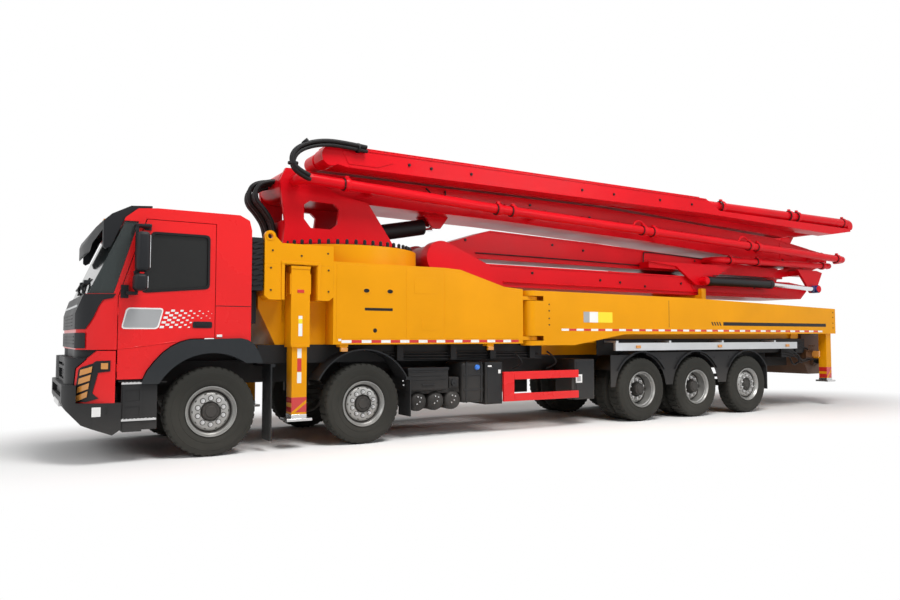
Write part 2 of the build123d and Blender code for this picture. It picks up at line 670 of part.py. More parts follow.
# ---- deck: front housing, side boxes, slewing platform ----
channel_half = half_width - side_box_width
platform_top = skirt_top
housing_top = 2620
lug_x = axle_1_x - 690
lug_hole_z = 2700
lug_hole_radius = 32
lug_radius = 72
arm_slot_front = front_jack_x + front_arm_depth / 2
arm_slot_rear = front_jack_x - front_arm_depth / 2
arm_clear = 8
jack_clear = 12
well_half = front_jack_size / 2 + 90
with BuildPart() as body_deck:
    # front housing carries the crosswise arms
    side_plate(((housing_front_x, housing_top), (housing_front_x, 1800), (housing_front_x - 230, 1330),
                (housing_rear_x, deck_bottom), (housing_rear_x, housing_top)),
               -half_width + 270, half_width - 270)
    for side in (1, -1):
        # hood round the jack
        low, high = sorted((side * (half_width - 275), side * half_width))
        side_plate(((housing_front_x, housing_top), (housing_front_x, 1950),
                    (housing_front_x - 60, 1900), (housing_rear_x + 60, 1900),
                    (housing_rear_x, 1950), (housing_rear_x, housing_top)), low, high)
        # side box
        low, high = sorted((side * channel_half, side * half_width))
        side_plate(((housing_rear_x + 1, deck_top + 5), (deck_slope_x, deck_top),
                    (deck_slope_x - 260, deck_top - 15), (deck_rear_x + 350, deck_rear_low + 25),
                    (deck_rear_x, deck_rear_low), (deck_rear_x, deck_bottom),
                    (housing_rear_x + 1, deck_bottom)), low, high)
        # lifting eye
        low, high = sorted((side * (half_width - 60), side * half_width))
        side_plate(((lug_x + 70, housing_top - 5), (lug_x + lug_radius, lug_hole_z),
                    (lug_x - lug_radius, lug_hole_z), (lug_x - 160, housing_top - 5)), low, high)
        cross_pin(lug_x, lug_hole_z, low, high, lug_radius)
        # ears and pin for the rear beam's hinge
        for z_low in rear_ear_levels:
            low, high = sorted((side * (rear_hinge_y - 90), side * (rear_hinge_y + 90)))
            block(rear_hinge_x, deck_rear_x + 10, low, high, z_low, z_low + rear_ear_height)
            upright(rear_hinge_x, side * rear_hinge_y, z_low, z_low + rear_ear_height, 110)
        upright(rear_hinge_x, side * rear_hinge_y, rear_ear_levels[0], rear_ear_levels[1] + rear_ear_height,
                rear_pin_radius)
    block(housing_rear_x, housing_front_x - 280, -frame_half_width, frame_half_width,
          frame_top + seat_gap, deck_bottom + 10)
    # slewing platform, a drum with its floor
    upright(slew_x, 0, deck_bottom, platform_top, skirt_radius - 330)
    block(slew_x - 700, slew_x + 700, -frame_half_width, frame_half_width,
          frame_top + seat_gap, deck_bottom + 10)
    upright(slew_x, 0, 2380, platform_top, skirt_radius)
    block(deck_slope_x, housing_rear_x + 5, -channel_half - 1, channel_half + 1, 1900, 2380)
    for side in (1, -1):
        low, high = sorted((side * (half_width - 60 - 20), side * (half_width + 20)))
        cross_pin(lug_x, lug_hole_z, low, high, lug_hole_radius, mode=Mode.SUBTRACT)
        # open well for the jack and its arm
        low, high = sorted((side * (front_jack_y - front_jack_size / 2 - jack_clear), side * (half_width + 1)))
        block(front_jack_x - well_half, front_jack_x + well_half, low, high, 1200,
              front_jack_top + jack_clear, mode=Mode.SUBTRACT)
    # crosswise tunnels for the two arms, one above the other
    for level in (0, 1):
        z_low = front_arm_bottom - level * (front_arm_height + 40)
        block(arm_slot_rear - arm_clear, arm_slot_front + arm_clear, -half_width - 1, half_width + 1,
              z_low - seat_gap, z_low + front_arm_height + arm_clear, mode=Mode.SUBTRACT)
    # weld seams that part the deck into its boxes, hoods, floor and drum
    seam = 0.3
    for side in (1, -1):
        y = side * channel_half
        block(deck_rear_x - 10, housing_rear_x, y - seam, y + seam, 1000, 2425, mode=Mode.SUBTRACT)
        y = side * (half_width - 272)
        block(housing_rear_x, housing_front_x + 10, y - seam, y + seam, 1000, 3000, mode=Mode.SUBTRACT)
        low, high = sorted((side * (half_width - 272), side * (half_width + 10)))
        block(housing_rear_x, housing_front_x + 10, low, high, front_jack_top + jack_clear - seam,
              front_jack_top + jack_clear + seam, mode=Mode.SUBTRACT)
    block(housing_rear_x - seam, housing_rear_x + seam, -half_width - 10, half_width + 10, 1000, 3000,
          mode=Mode.SUBTRACT)
    block(slew_x - skirt_radius - 10, housing_rear_x, -half_width - 10, half_width + 10, 2425 - seam,
          2425 + seam, mode=Mode.SUBTRACT)
save(body_deck, "body_deck")

# ---- front outriggers: arm with jack casing, and the leg inside it ----
leg_clear = 6
casing_wall = 20
leg_half = front_jack_size / 2 - casing_wall - leg_clear
casing_mouth = 1380
# name, side, level of the arm
for name, side, level in (("left", 1, 0), ("right", -1, 1)):
    z_low = front_arm_bottom - level * (front_arm_height + 40)
    inner_end = side * (front_jack_size / 2 + 25 - front_jack_y)
    low, high = sorted((inner_end, side * front_jack_y))
    with BuildPart() as front_arm:
        block(arm_slot_rear, arm_slot_front, low, high, z_low, z_low + front_arm_height)
        with Locations((front_jack_x, side * front_jack_y, (1300 + front_jack_top) / 2)):
            Box(front_jack_size, front_jack_size, front_jack_top - 1300)
        block(front_jack_x - 140, front_jack_x + 140, *sorted((side * (front_jack_y + 119), side * 600)),
              z_low + 20, z_low + front_arm_height - 20)
        with Locations((front_jack_x, side * front_jack_y, (casing_mouth + front_jack_top - 40) / 2)):
            Box(2 * (leg_half + leg_clear), 2 * (leg_half + leg_clear), front_jack_top - 40 - casing_mouth,
                mode=Mode.SUBTRACT)
        with Locations((front_jack_x, side * front_jack_y, casing_mouth)):
            Box(2 * (leg_half + seat_gap), 2 * (leg_half + seat_gap), 400, mode=Mode.SUBTRACT)
    save(front_arm, f"front_arm_{name}")
    with BuildPart() as front_leg:
        with Locations((front_jack_x, side * front_jack_y, (390 + front_jack_top - 60) / 2)):
            Box(2 * leg_half, 2 * leg_half, front_jack_top - 60 - 390)
        with Locations((front_jack_x, side * front_jack_y, 360 + pad_thick / 2)):
            Box(2 * pad_half, 2 * (half_width - front_jack_y - 2) , pad_thick)
        with Locations((front_jack_x, side * front_jack_y, 440)):
            Cylinder(leg_half - 8, 110)
    save(front_leg, f"front_leg_{name}")

# ---- rear outriggers: hinged beam along the side, leg at its end ----
rear_inner = rear_hinge_y - rear_beam_width / 2
rear_outer = rear_hinge_y + rear_beam_width / 2
rear_leg_half = 85
rear_pad_z = 500
for name, side in (("left", 1), ("right", -1)):
    low, high = sorted((side * rear_inner, side * rear_outer))
    with BuildPart() as rear_beam:
        side_plate(((rear_hinge_x, 2150), (axle_1_x - 8380, 2130), (rear_beam_end_x, 2020),
                    (rear_beam_end_x, 1500), (axle_1_x - 6770, 1475), (axle_1_x - 5670, 1300),
                    (rear_hinge_x, 1300)), low, high)
        upright(rear_hinge_x, side * rear_hinge_y, 1300, 2150, rear_beam_width / 2)
        for z_low in rear_ear_levels:
            upright(rear_hinge_x, side * rear_hinge_y, z_low - running_gap,
                    z_low + rear_ear_height + running_gap, rear_beam_width / 2 + 60, mode=Mode.SUBTRACT)
        upright(rear_hinge_x, side * rear_hinge_y, 1200, 2200, rear_pin_radius + pin_bore_slack,
                mode=Mode.SUBTRACT)
        with Locations((rear_jack_x, side * rear_hinge_y, 1780)):
            Box(2 * (rear_leg_half + leg_clear), 2 * (rear_leg_half + leg_clear), 440, mode=Mode.SUBTRACT)
        with Locations((rear_jack_x, side * rear_hinge_y, 1600)):
            Box(2 * (rear_leg_half + seat_gap), 2 * (rear_leg_half + seat_gap), 400, mode=Mode.SUBTRACT)
    save(rear_beam, f"rear_beam_{name}")
    with BuildPart() as rear_leg:
        with Locations((rear_jack_x, side * rear_hinge_y, (rear_pad_z + 1980) / 2)):
            Box(2 * rear_leg_half, 2 * rear_leg_half, 1980 - rear_pad_z - 10)
        with Locations((rear_jack_x, side * rear_hinge_y, rear_pad_z + pad_thick / 2)):
            Box(2 * rear_leg_half + 90, 2 * rear_leg_half + 90, pad_thick)
    save(rear_leg, f"rear_leg_{name}")

# ---- rear body between the beams: subframe, water tank, boom rest ----
rest_x = axle_1_x - 9480
tank_rear_x = rest_x + 180
stack_bottom = 2250
tank_top = 1950
with BuildPart() as rear_body:
    for side in (1, -1):
        low, high = sorted((side * (frame_half_width - 120), side * frame_half_width))
        block(frame_rear_x, slew_x - skirt_radius + 330 - 1, low, high, frame_top + seat_gap, deck_bottom)
    block(tank_rear_x, deck_rear_x - 200, -900, 900, deck_bottom - 1, tank_top)
    block(frame_rear_x + 300, tank_rear_x + 1, -900, 900, deck_bottom - 1, 1500)
    block(rest_x - 60, rest_x + 60, -640, 640, 1499, stack_bottom - seat_gap)
    for side in (1, -1):
        low, high = sorted((side * 560, side * 640))
        block(rest_x - 60, rest_x + 60, low, high, 1600, stack_bottom + 120)
        # steady for the beam's free end
        low, high = sorted((side * 560, side * (rear_inner - 0.3)))
        block(frame_rear_x + 415, frame_rear_x + 615, low, high, 1400, 1499)
        # weld seam between the rest and its cheek
        block(rest_x - 70, rest_x + 70, side * 560 - seam, side * 560 + seam, tank_top,
              stack_bottom + 130, mode=Mode.SUBTRACT)
    block(rest_x - 70, rest_x + 70, -650, 650, tank_top, tank_top + 2 * seam, mode=Mode.SUBTRACT)
save(rear_body, "rear_body")

# ---- hopper and concrete pump at the tail ----
with BuildPart() as hopper:
    side_plate(((frame_rear_x - 20, 1480), (frame_rear_x - 950, 1480), (frame_rear_x - 860, 860),
                (frame_rear_x - 640, 640), (frame_rear_x - 250, 640), (frame_rear_x - 20, 1000)), -760, 760)
    side_plate(((frame_rear_x - 70, 1500), (frame_rear_x - 895, 1500), (frame_rear_x - 815, 880),
                (frame_rear_x - 620, 700), (frame_rear_x - 280, 700), (frame_rear_x - 70, 1020)), -700, 700,
               mode=Mode.SUBTRACT)
    for side in (1, -1):
        low, high = sorted((side * (frame_half_width - frame_web), side * frame_half_width))
        block(frame_rear_x - 25, frame_rear_x - 0.3, low, high, 830, 1110)
    cross_pin(frame_rear_x - 450, 940, -720, 720, 45)
    bar((frame_rear_x - 800, 0, 820), (frame_rear_x - 1080, 0, 820), 110)
save(hopper, "hopper")

# ---- turret ----
boom_pivot = (axle_1_x - 1250, 3580)
turret_in = 440
turret_out = 500
turret_foot = platform_top + seat_gap
lift_base = (axle_1_x - 1950, 2875)
lift_eye = (axle_1_x - 3750, 3230)
lift_pin_radius = 50
with BuildPart() as turret:
    upright(slew_x, 0, turret_foot, turret_foot + 45, slew_radius)
    for side in (1, -1):
        low, high = sorted((side * turret_in, side * turret_out))
        side_plate((
            (axle_1_x - 1100, turret_foot + 40), (axle_1_x - 1130, 3000), (axle_1_x - 1080, 3350),
            (axle_1_x - 1050, 3600), (axle_1_x - 1130, 3770), (axle_1_x - 1330, 3780),
            (axle_1_x - 1900, 3470), (axle_1_x - 2380, 3390), (axle_1_x - 2850, turret_foot + 40)), low, high)
        side_plate((
            (axle_1_x - 1400, 3080), (axle_1_x - 1400, 3280), (axle_1_x - 1480, 3340),
            (axle_1_x - 1850, 3330), (axle_1_x - 1930, 3260), (axle_1_x - 1900, 3040),
            (axle_1_x - 1800, 2960), (axle_1_x - 1500, 2960)), low - 10, high + 10, mode=Mode.SUBTRACT)
    block(axle_1_x - 1160, axle_1_x - 1120, -turret_in - 1, turret_in + 1, turret_foot + 40, 3050)
    for side in (1, -1):
        low, high = sorted((side * 150, side * 210))
        side_plate(((lift_base[0] + 160, turret_foot + 40), (lift_base[0] + 70, lift_base[1] + 70),
                    (lift_base[0] - 60, lift_base[1] + 70), (lift_base[0] - 120, turret_foot + 40)), low, high)
    cross_pin(*boom_pivot, -turret_out - 15, turret_out + 15, 70)
    cross_pin(*lift_base, -215, 215, lift_pin_radius)
save(turret, "turret")

# ---- boom sections: pivots as x and z ----
pivot_b = (axle_1_x - 13750, 3170)
pivot_c = (axle_1_x - 3640, 2660)
pivot_d = (axle_1_x - 14130, 3930)
pivot_e = (axle_1_x - 1650, 3930)
pivot_f = (axle_1_x - 13000, 3930)
s1_half = 420
s2_half = 280
s3_half = 500
fork_in = 300
s1_pipe_y = 800
with BuildPart() as boom_1:
    side_plate((
        (axle_1_x - 1300, 3775), (axle_1_x - 7000, 3765), (axle_1_x - 12000, 3560), (axle_1_x - 13240, 3400),
        (axle_1_x - 13250, 3030), (axle_1_x - 12400, 2990), (axle_1_x - 8000, 3240),
        (axle_1_x - 4800, 3345), (axle_1_x - 2100, 3385), (axle_1_x - 1300, 3385)), -s1_half, s1_half)
    cross_pin(*boom_pivot, -s1_half, s1_half, 195)
    for side in (1, -1):
        low, high = sorted((side * fork_in, side * s1_half))
        side_plate(((axle_1_x - 13200, 3400), (pivot_b[0] - 60, 3330), (pivot_b[0] - 60, 3010),
                    (axle_1_x - 13200, 3030)), low, high)
        cross_pin(*pivot_b, low, high, 180)
        low, high = sorted((side * 105, side * 150))
        side_plate(((lift_eye[0] + 240, 3390), (lift_eye[0] + 70, lift_eye[1] - 60),
                    (lift_eye[0] - 70, lift_eye[1] - 60), (lift_eye[0] - 240, 3390)), low, high)
    cross_pin(*boom_pivot, -s1_half - 10, s1_half + 10, 70 + pin_bore_slack, mode=Mode.SUBTRACT)
    cross_pin(*pivot_b, -s1_half, s1_half, pin_radius)
    # delivery pipe with its elbows and brackets
    pipe(((axle_1_x - 1250, turret_out + 25, 3590), (axle_1_x - 1250, s1_pipe_y, 3590),
          (axle_1_x - 4530, s1_pipe_y, 3450), (axle_1_x - 14000, s1_pipe_y, 3160),
          (axle_1_x - 14000, 560, 3160)), pipe_radius, (160, 4000, 160))
    # bracket x and pipe z
    for behind, z in ((2400, 3540), (5400, 3424), (8300, 3335), (11400, 3240), (13200, 3185)):
        block(axle_1_x - behind - 35, axle_1_x - behind + 35, s1_half - 5, s1_pipe_y - 40, z - 35, z + 35)
save(boom_1, "boom_1")

with BuildPart() as boom_2:
    side_plate((
        (pivot_c[0] - 60, 2880), (axle_1_x - 4700, 3190), (axle_1_x - 7000, 3130), (axle_1_x - 12300, 2900),
        (axle_1_x - 13250, 2990), (axle_1_x - 13250, 2830), (axle_1_x - 12300, 2720),
        (axle_1_x - 8000, 2710), (axle_1_x - 4300, 2710), (pivot_c[0] - 180, 2530)), -s2_half, s2_half)
    side_plate(((axle_1_x - 12300, 2890), (axle_1_x - 13300, 2960), (pivot_b[0] + 40, 3330),
                (pivot_b[0] - 60, 3010), (axle_1_x - 13250, 2840), (axle_1_x - 12300, 2750)),
               -s2_half, s2_half)
    cross_pin(*pivot_b, -s2_half, s2_half, 165)
    cross_pin(*pivot_c, -s2_half, s2_half, 225)
    cross_pin(*pivot_b, -s2_half - 10, s2_half + 10, pin_radius + pin_bore_slack, mode=Mode.SUBTRACT)
    cross_pin(*pivot_c, -s3_half, s3_half, pin_radius)
    for side in (1, -1):
        # hanging brackets of the fold cylinder
        low, high = sorted((side * (s3_half + 20), side * (s3_half + 75)))
        side_plate(((axle_1_x - 8000, 2840), (axle_1_x - 8800, 2780), (axle_1_x - 9350, 2440),
                    (axle_1_x - 9560, 2440), (axle_1_x - 10400, 2860)), low, high)
        side_plate(((axle_1_x - 12600, 2900), (axle_1_x - 13080, 2400), (axle_1_x - 13230, 2400),
                    (axle_1_x - 13500, 2860), (axle_1_x - 13300, 2900)), low, high)
        low, high = sorted((side * (s2_half - 5), side * (s3_half + 40)))
        block(axle_1_x - 10300, axle_1_x - 8100, low, high, 2725, 2835)
        block(axle_1_x - 13300, axle_1_x - 12700, low, high, 2770, 2880)
    # fold cylinder
    bar((axle_1_x - 9450, s3_half + 150, 2520), (axle_1_x - 11530, s3_half + 150, 2530), 85)
    bar((axle_1_x - 11500, s3_half + 150, 2530), (axle_1_x - 13100, s3_half + 150, 2480), 48)
    cross_pin(axle_1_x - 9480, 2520, s3_half + 30, s3_half + 240, 60)
    cross_pin(axle_1_x - 13130, 2480, s3_half + 30, s3_half + 230, 75)
    pipe(((axle_1_x - 9900, s2_half - 10, 2960), (axle_1_x - 9900, 620, 2960), (axle_1_x - 13700, 620, 3020),
          (axle_1_x - 13700, 560, 3020)), 65, (130, 50))
save(boom_2, "boom_2")

riser_in = 620
riser_out = 880
with BuildPart() as boom_3:
    side_plate(((axle_1_x - 4100, 2610), (axle_1_x - 12400, 2610), (axle_1_x - 12900, 2560),
                (axle_1_x - 13020, 2440), (axle_1_x - 12800, 2260), (axle_1_x - 12300, stack_bottom),
                (axle_1_x - 4100, stack_bottom)), -s3_half, s3_half)
    for side in (1, -1):
        low, high = sorted((side * fork_in, side * s3_half))
        side_plate(((pivot_c[0] - 130, 2900), (axle_1_x - 4500, 2600), (axle_1_x - 4500, stack_bottom),
                    (pivot_c[0] - 100, stack_bottom), (pivot_c[0] + 200, 2420)), low, high)
        cross_pin(*pivot_c, low, high, 265)
    cross_pin(*pivot_c, -s3_half - 10, s3_half + 10, pin_radius + pin_bore_slack, mode=Mode.SUBTRACT)
    # riser to the rear top pivot, in the right-hand lane
    block(axle_1_x - 12300, axle_1_x - 11500, -riser_out, -s3_half + 1, 2300, 2560)
    side_plate(((axle_1_x - 11500, 2300), (axle_1_x - 13050, 2300), (axle_1_x - 14280, 3860),
                (axle_1_x - 13960, 3990), (axle_1_x - 12700, 2640), (axle_1_x - 12000, 2560),
                (axle_1_x - 11500, 2560)), -riser_out, -riser_in)
    cross_pin(*pivot_d, -riser_out, -riser_in, 165)
    cross_pin(*pivot_d, -riser_out - 10, -riser_in + 10, 55 + pin_bore_slack, mode=Mode.SUBTRACT)
    # weld seam between the section and its riser
    block(axle_1_x - 12310, axle_1_x - 11490, -s3_half - 2 * seam, -s3_half, 2290, 2570, mode=Mode.SUBTRACT)
save(boom_3, "boom_3")

s4_in = 560
s4_out = 880
with BuildPart() as boom_4:
    side_plate(((pivot_e[0] + 60, 4075), (axle_1_x - 9300, 4080), (axle_1_x - 9700, 3880),
                (axle_1_x - 14130, 3860), (axle_1_x - 14130, 3800), (axle_1_x - 13400, 3690),
                (axle_1_x - 9300, 3790), (axle_1_x - 1900, 3790), (pivot_e[0] + 130, 3860)), s4_in, s4_out)
    cross_pin(*pivot_e, s4_in, s4_out, 140)
    cross_pin(*pivot_d, -riser_in + 12, s4_out, 95)
    cross_pin(*pivot_d, -riser_out - 8, -riser_in + 20, 55)
    cross_pin(*pivot_e, 120, s4_in + 10, 50)
    pipe(((axle_1_x - 9200, 640, 3990), (axle_1_x - 9420, 720, 3990), (axle_1_x - 14150, 780, 3990),
          (axle_1_x - 14300, 720, 3990)), 95, (150, 110))
save(boom_4, "boom_4")

s5_in = 140
s5_out = 460
with BuildPart() as boom_5:
    side_plate(((pivot_e[0] + 40, 4040), (axle_1_x - 12900, 4040), (pivot_f[0] - 90, 3870),
                (axle_1_x - 12650, 3640), (axle_1_x - 12300, 3600), (axle_1_x - 9500, 3700),
                (axle_1_x - 7200, 3800), (pivot_e[0] + 40, 3810)), s5_in, s5_out)
    cross_pin(*pivot_e, s5_in, s5_out, 125)
    cross_pin(*pivot_f, s5_in, s5_out, 110)
    cross_pin(*pivot_e, s5_in - 10, s5_out + 10, 50 + pin_bore_slack, mode=Mode.SUBTRACT)
    cross_pin(*pivot_f, -200, s5_in + 10, 45)
    # weld seam where the section starts to deepen
    block(axle_1_x - 7200 - seam, axle_1_x - 7200 + seam, s5_in - 10, s5_out + 10, 3700, 4100,
          mode=Mode.SUBTRACT)
save(boom_5, "boom_5")

s6_in = -210
s6_out = 110
with BuildPart() as boom_6:
    side_plate(((axle_1_x - 2300, 4010), (pivot_f[0], 4010), (pivot_f[0], 3850), (axle_1_x - 2300, 3870)),
               s6_in, s6_out)
    cross_pin(*pivot_f, s6_in, s6_out, 100)
    cross_pin(*pivot_f, s6_in - 10, s6_out + 10, 45 + pin_bore_slack, mode=Mode.SUBTRACT)
    bar((axle_1_x - 2310, -50, 3940), (axle_1_x - 2110, -50, 3940), 63)
save(boom_6, "boom_6")

# ---- lift cylinder: barrel on the turret, rod to the first section ----
lift_run = Vector(lift_eye[0] - lift_base[0], 0, lift_eye[1] - lift_base[1])
lift_way = lift_run.normalized()
barrel_radius = 125
rod_radius = 65


def along_lift(distance):
    """A point on the lift cylinder's centre line."""
    return (lift_base[0] + lift_way.X * distance, 0, lift_base[1] + lift_way.Z * distance)


barrel_end = lift_run.length - 190
with BuildPart() as lift_barrel:
    bar(along_lift(20), along_lift(barrel_end), barrel_radius)
    cross_pin(*lift_base, -135, 135, 95)
    cross_pin(*lift_base, -145, 145, lift_pin_radius + pin_bore_slack, mode=Mode.SUBTRACT)
    bar(along_lift(130), along_lift(barrel_end + 10), rod_radius + 1, mode=Mode.SUBTRACT)
save(lift_barrel, "lift_barrel")
with BuildPart() as lift_rod:
    bar(along_lift(150), along_lift(lift_run.length - 40), rod_radius)
    cross_pin(*lift_eye, -95, 95, 85)
save(lift_rod, "lift_rod")

# ---- hoses held on the turret and round the top fold ----
with BuildPart() as turret_hoses:
    for y in (-140, 0, 140):
        pipe(((axle_1_x - 1077.7, y, 2700), (axle_1_x - 1077, y, 3000), (axle_1_x - 900, y, 3260),
              (axle_1_x - 850, y, 3500), (axle_1_x - 940, y, 3640)), 42, (260, 260, 120))
save(turret_hoses, "turret_hoses")
with BuildPart() as fold_hoses:
    for y in (s4_out + 27.3, s4_out + 81.6):
        pipe(((axle_1_x - 2050, y, 4020), (axle_1_x - 1600, y, 4040), (axle_1_x - 1330, y, 3960),
              (axle_1_x - 1300, y, 3800), (axle_1_x - 1500, y, 3700)), 27, (300, 120, 120))
save(fold_hoses, "fold_hoses")

# ---- mudguards, tanks, guards and catwalk rail ----
fender_radius = tyre_radius + 95
fender_thick = 18
flap_low = 430
steer_fender = 715
# axle x, inner edge, arc radius
fenders = (
    (axle_2_x, 900, steer_fender), (axle_3_x, 585, fender_radius),
    (axle_4_x, 585, fender_radius), (axle_5_x, 900, fender_radius),
)
with BuildPart() as mudguards:
    for x, y_in, radius in fenders:
        for side in (1, -1):
            low, high = sorted((side * y_in, side * (half_track_face + 5)))
            cross_pin(x, tyre_radius, low, high, radius + fender_thick)
    for x, y_in, radius in fenders:
        cross_pin(x, tyre_radius, -1400, 1400, radius, mode=Mode.SUBTRACT)
        block(x - 800, x + 800, -1400, 1400, -300, tyre_radius + 330, mode=Mode.SUBTRACT)
    for x, y_in, radius in fenders:
        top = tyre_radius + radius
        for side in (1, -1):
            low, high = sorted((side * (frame_half_width + seat_gap), side * 930))
            block(x - 30, x + 30, low, high, top + 1, top + 30)
            low, high = sorted((side * (frame_half_width + seat_gap), side * (frame_half_width + 60)))
            block(x - 30, x + 30, low, high, frame_top - 120, top + 30)
    for side in (1, -1):
        low, high = sorted((side * 900, side * (half_track_face + 5)))
        block(axle_5_x - 572, axle_5_x - 547, low, high, flap_low, tyre_radius + 345)
        block(axle_2_x - 708, axle_2_x - 690, low, high, flap_low - 100, tyre_radius + 300)
        block(axle_2_x - 708, axle_2_x - 630, low, high, tyre_radius + 299, tyre_radius + 340)
save(mudguards, "mudguards")

hanger_in = frame_half_width + seat_gap
with BuildPart() as side_tanks:
    for side in (1, -1):
        # air tanks in a row along the truck, battery box over them
        low, high = sorted((side * 640, side * 1200))
        for step in range(3):
            cross_pin(axle_2_x - 1015 - step * 255, 590, low, high, 115)
        low, high = sorted((side * 640, side * 1215))
        block(axle_2_x - 1655, axle_2_x - 885, low, high, 740, 1090)
        low, high = sorted((side * 700, side * 1150))
        block(axle_2_x - 1625, axle_2_x - 915, low, high, 600, 760)
        # fuel and additive tank
        low, high = sorted((side * 640, side * 1200))
        block(axle_2_x - 2205, axle_2_x - 1670, low, high, 470, 1050)
        low, high = sorted((side * 640, side * 1120))
        block(axle_3_x + 975, axle_3_x + 1395, low, high, 420, 1000)
        low, high = sorted((side * hanger_in, side * 660))
        for x_low, x_high in ((axle_2_x - 1505, axle_2_x - 1005), (axle_2_x - 2105, axle_2_x - 1805),
                              (axle_3_x + 1075, axle_3_x + 1325)):
            block(x_low, x_high, low, high, 850, 990)
        block(axle_2_x - 1705, axle_2_x - 1645, *sorted((side * 700, side * 1100)), 760, 1000)
save(side_tanks, "side_tanks")

with BuildPart() as side_guards:
    for side in (1, -1):
        low, high = sorted((side * 1190, side * 1235))
        for z_low, z_high in ((440, 560), (785, 905)):
            block(axle_3_x + 1425, axle_2_x - 2265, low, high, z_low, z_high)
        for x in (axle_2_x - 2295, axle_3_x + 1875, axle_3_x + 1455):
            block(x - 30, x + 30, low, high, 441, 904)
        for x in (axle_2_x - 2405, axle_3_x + 1575):
            block(x - 30, x + 30, *sorted((side * hanger_in, side * 1200)), 820, 880)
save(side_guards, "side_guards")

# catwalk rail over the rear wheels
with BuildPart() as catwalk_rail:
    for side in (1, -1):
        low, high = sorted((side * 1200, side * 1245))
        block(axle_5_x - 1545, axle_3_x + 615, low, high, 1200, 1330)
        for x in (axle_3_x + 575, axle_3_x - 685, axle_4_x - 710, axle_5_x - 835):
            block(x - 25, x + 25, *sorted((side * 900.3, side * 1201)), 1335, 1365)
            block(x - 25, x + 25, *sorted((side * 1200, side * 1245)), 1300, 1365)
save(catwalk_rail, "catwalk_rail")
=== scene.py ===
import bpy
import bmesh
from math import atan2, cos, pi, radians, sin
from mathutils import Matrix, Vector
from mathutils.bvhtree import BVHTree


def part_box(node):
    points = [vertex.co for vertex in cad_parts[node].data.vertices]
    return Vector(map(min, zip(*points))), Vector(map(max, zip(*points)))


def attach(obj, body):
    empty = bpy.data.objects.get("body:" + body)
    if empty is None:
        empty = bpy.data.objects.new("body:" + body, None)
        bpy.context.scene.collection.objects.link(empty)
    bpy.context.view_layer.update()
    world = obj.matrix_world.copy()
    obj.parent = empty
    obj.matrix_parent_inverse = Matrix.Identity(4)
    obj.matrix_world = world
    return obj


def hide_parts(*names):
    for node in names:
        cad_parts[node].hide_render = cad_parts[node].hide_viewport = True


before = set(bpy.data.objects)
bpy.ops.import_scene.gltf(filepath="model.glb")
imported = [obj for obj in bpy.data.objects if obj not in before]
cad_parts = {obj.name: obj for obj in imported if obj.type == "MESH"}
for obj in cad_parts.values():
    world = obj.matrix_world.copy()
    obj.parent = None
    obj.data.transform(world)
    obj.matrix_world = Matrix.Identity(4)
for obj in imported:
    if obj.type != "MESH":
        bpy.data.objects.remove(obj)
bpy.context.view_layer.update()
wheelLow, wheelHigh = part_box("wheel_1_left")
axle1X = (wheelLow.x + wheelHigh.x) / 2
scene = bpy.context.scene
scene.view_settings.view_transform = "Standard"

# camera
cameraSettings = {"place": (axle1X + 2.171, 10.298, 1.429), "yaw": 31.31, "pitch": 2.877, "lens": 29.46}


def addCamera(settings):
    yaw = radians(settings["yaw"])
    pitch = radians(settings["pitch"])
    look = Vector((-sin(yaw) * cos(pitch), -cos(yaw) * cos(pitch), sin(pitch)))
    data = bpy.data.cameras.new("viewCamera")
    data.lens = settings["lens"]
    data.sensor_width = 36
    data.clip_end = 200
    camera = bpy.data.objects.new("viewCamera", data)
    camera.location = settings["place"]
    camera.rotation_euler = look.to_track_quat("-Z", "Y").to_euler()
    scene.collection.objects.link(camera)
    scene.camera = camera


addCamera(cameraSettings)
print("camera placed")

# shader helpers


def nodeOf(tree, kind, **values):
    node = tree.nodes.new(kind)
    for key, value in values.items():
        setattr(node, key, value)
    return node


def makeGroup(name, inputs, outputs):
    group = bpy.data.node_groups.new(name, "ShaderNodeTree")
    for label, kind, default in inputs:
        socket = group.interface.new_socket(label, in_out="INPUT", socket_type=kind)
        socket.default_value = default
    for label, kind in outputs:
        group.interface.new_socket(label, in_out="OUTPUT", socket_type=kind)
    return group, group.nodes.new("NodeGroupInput"), group.nodes.new("NodeGroupOutput")


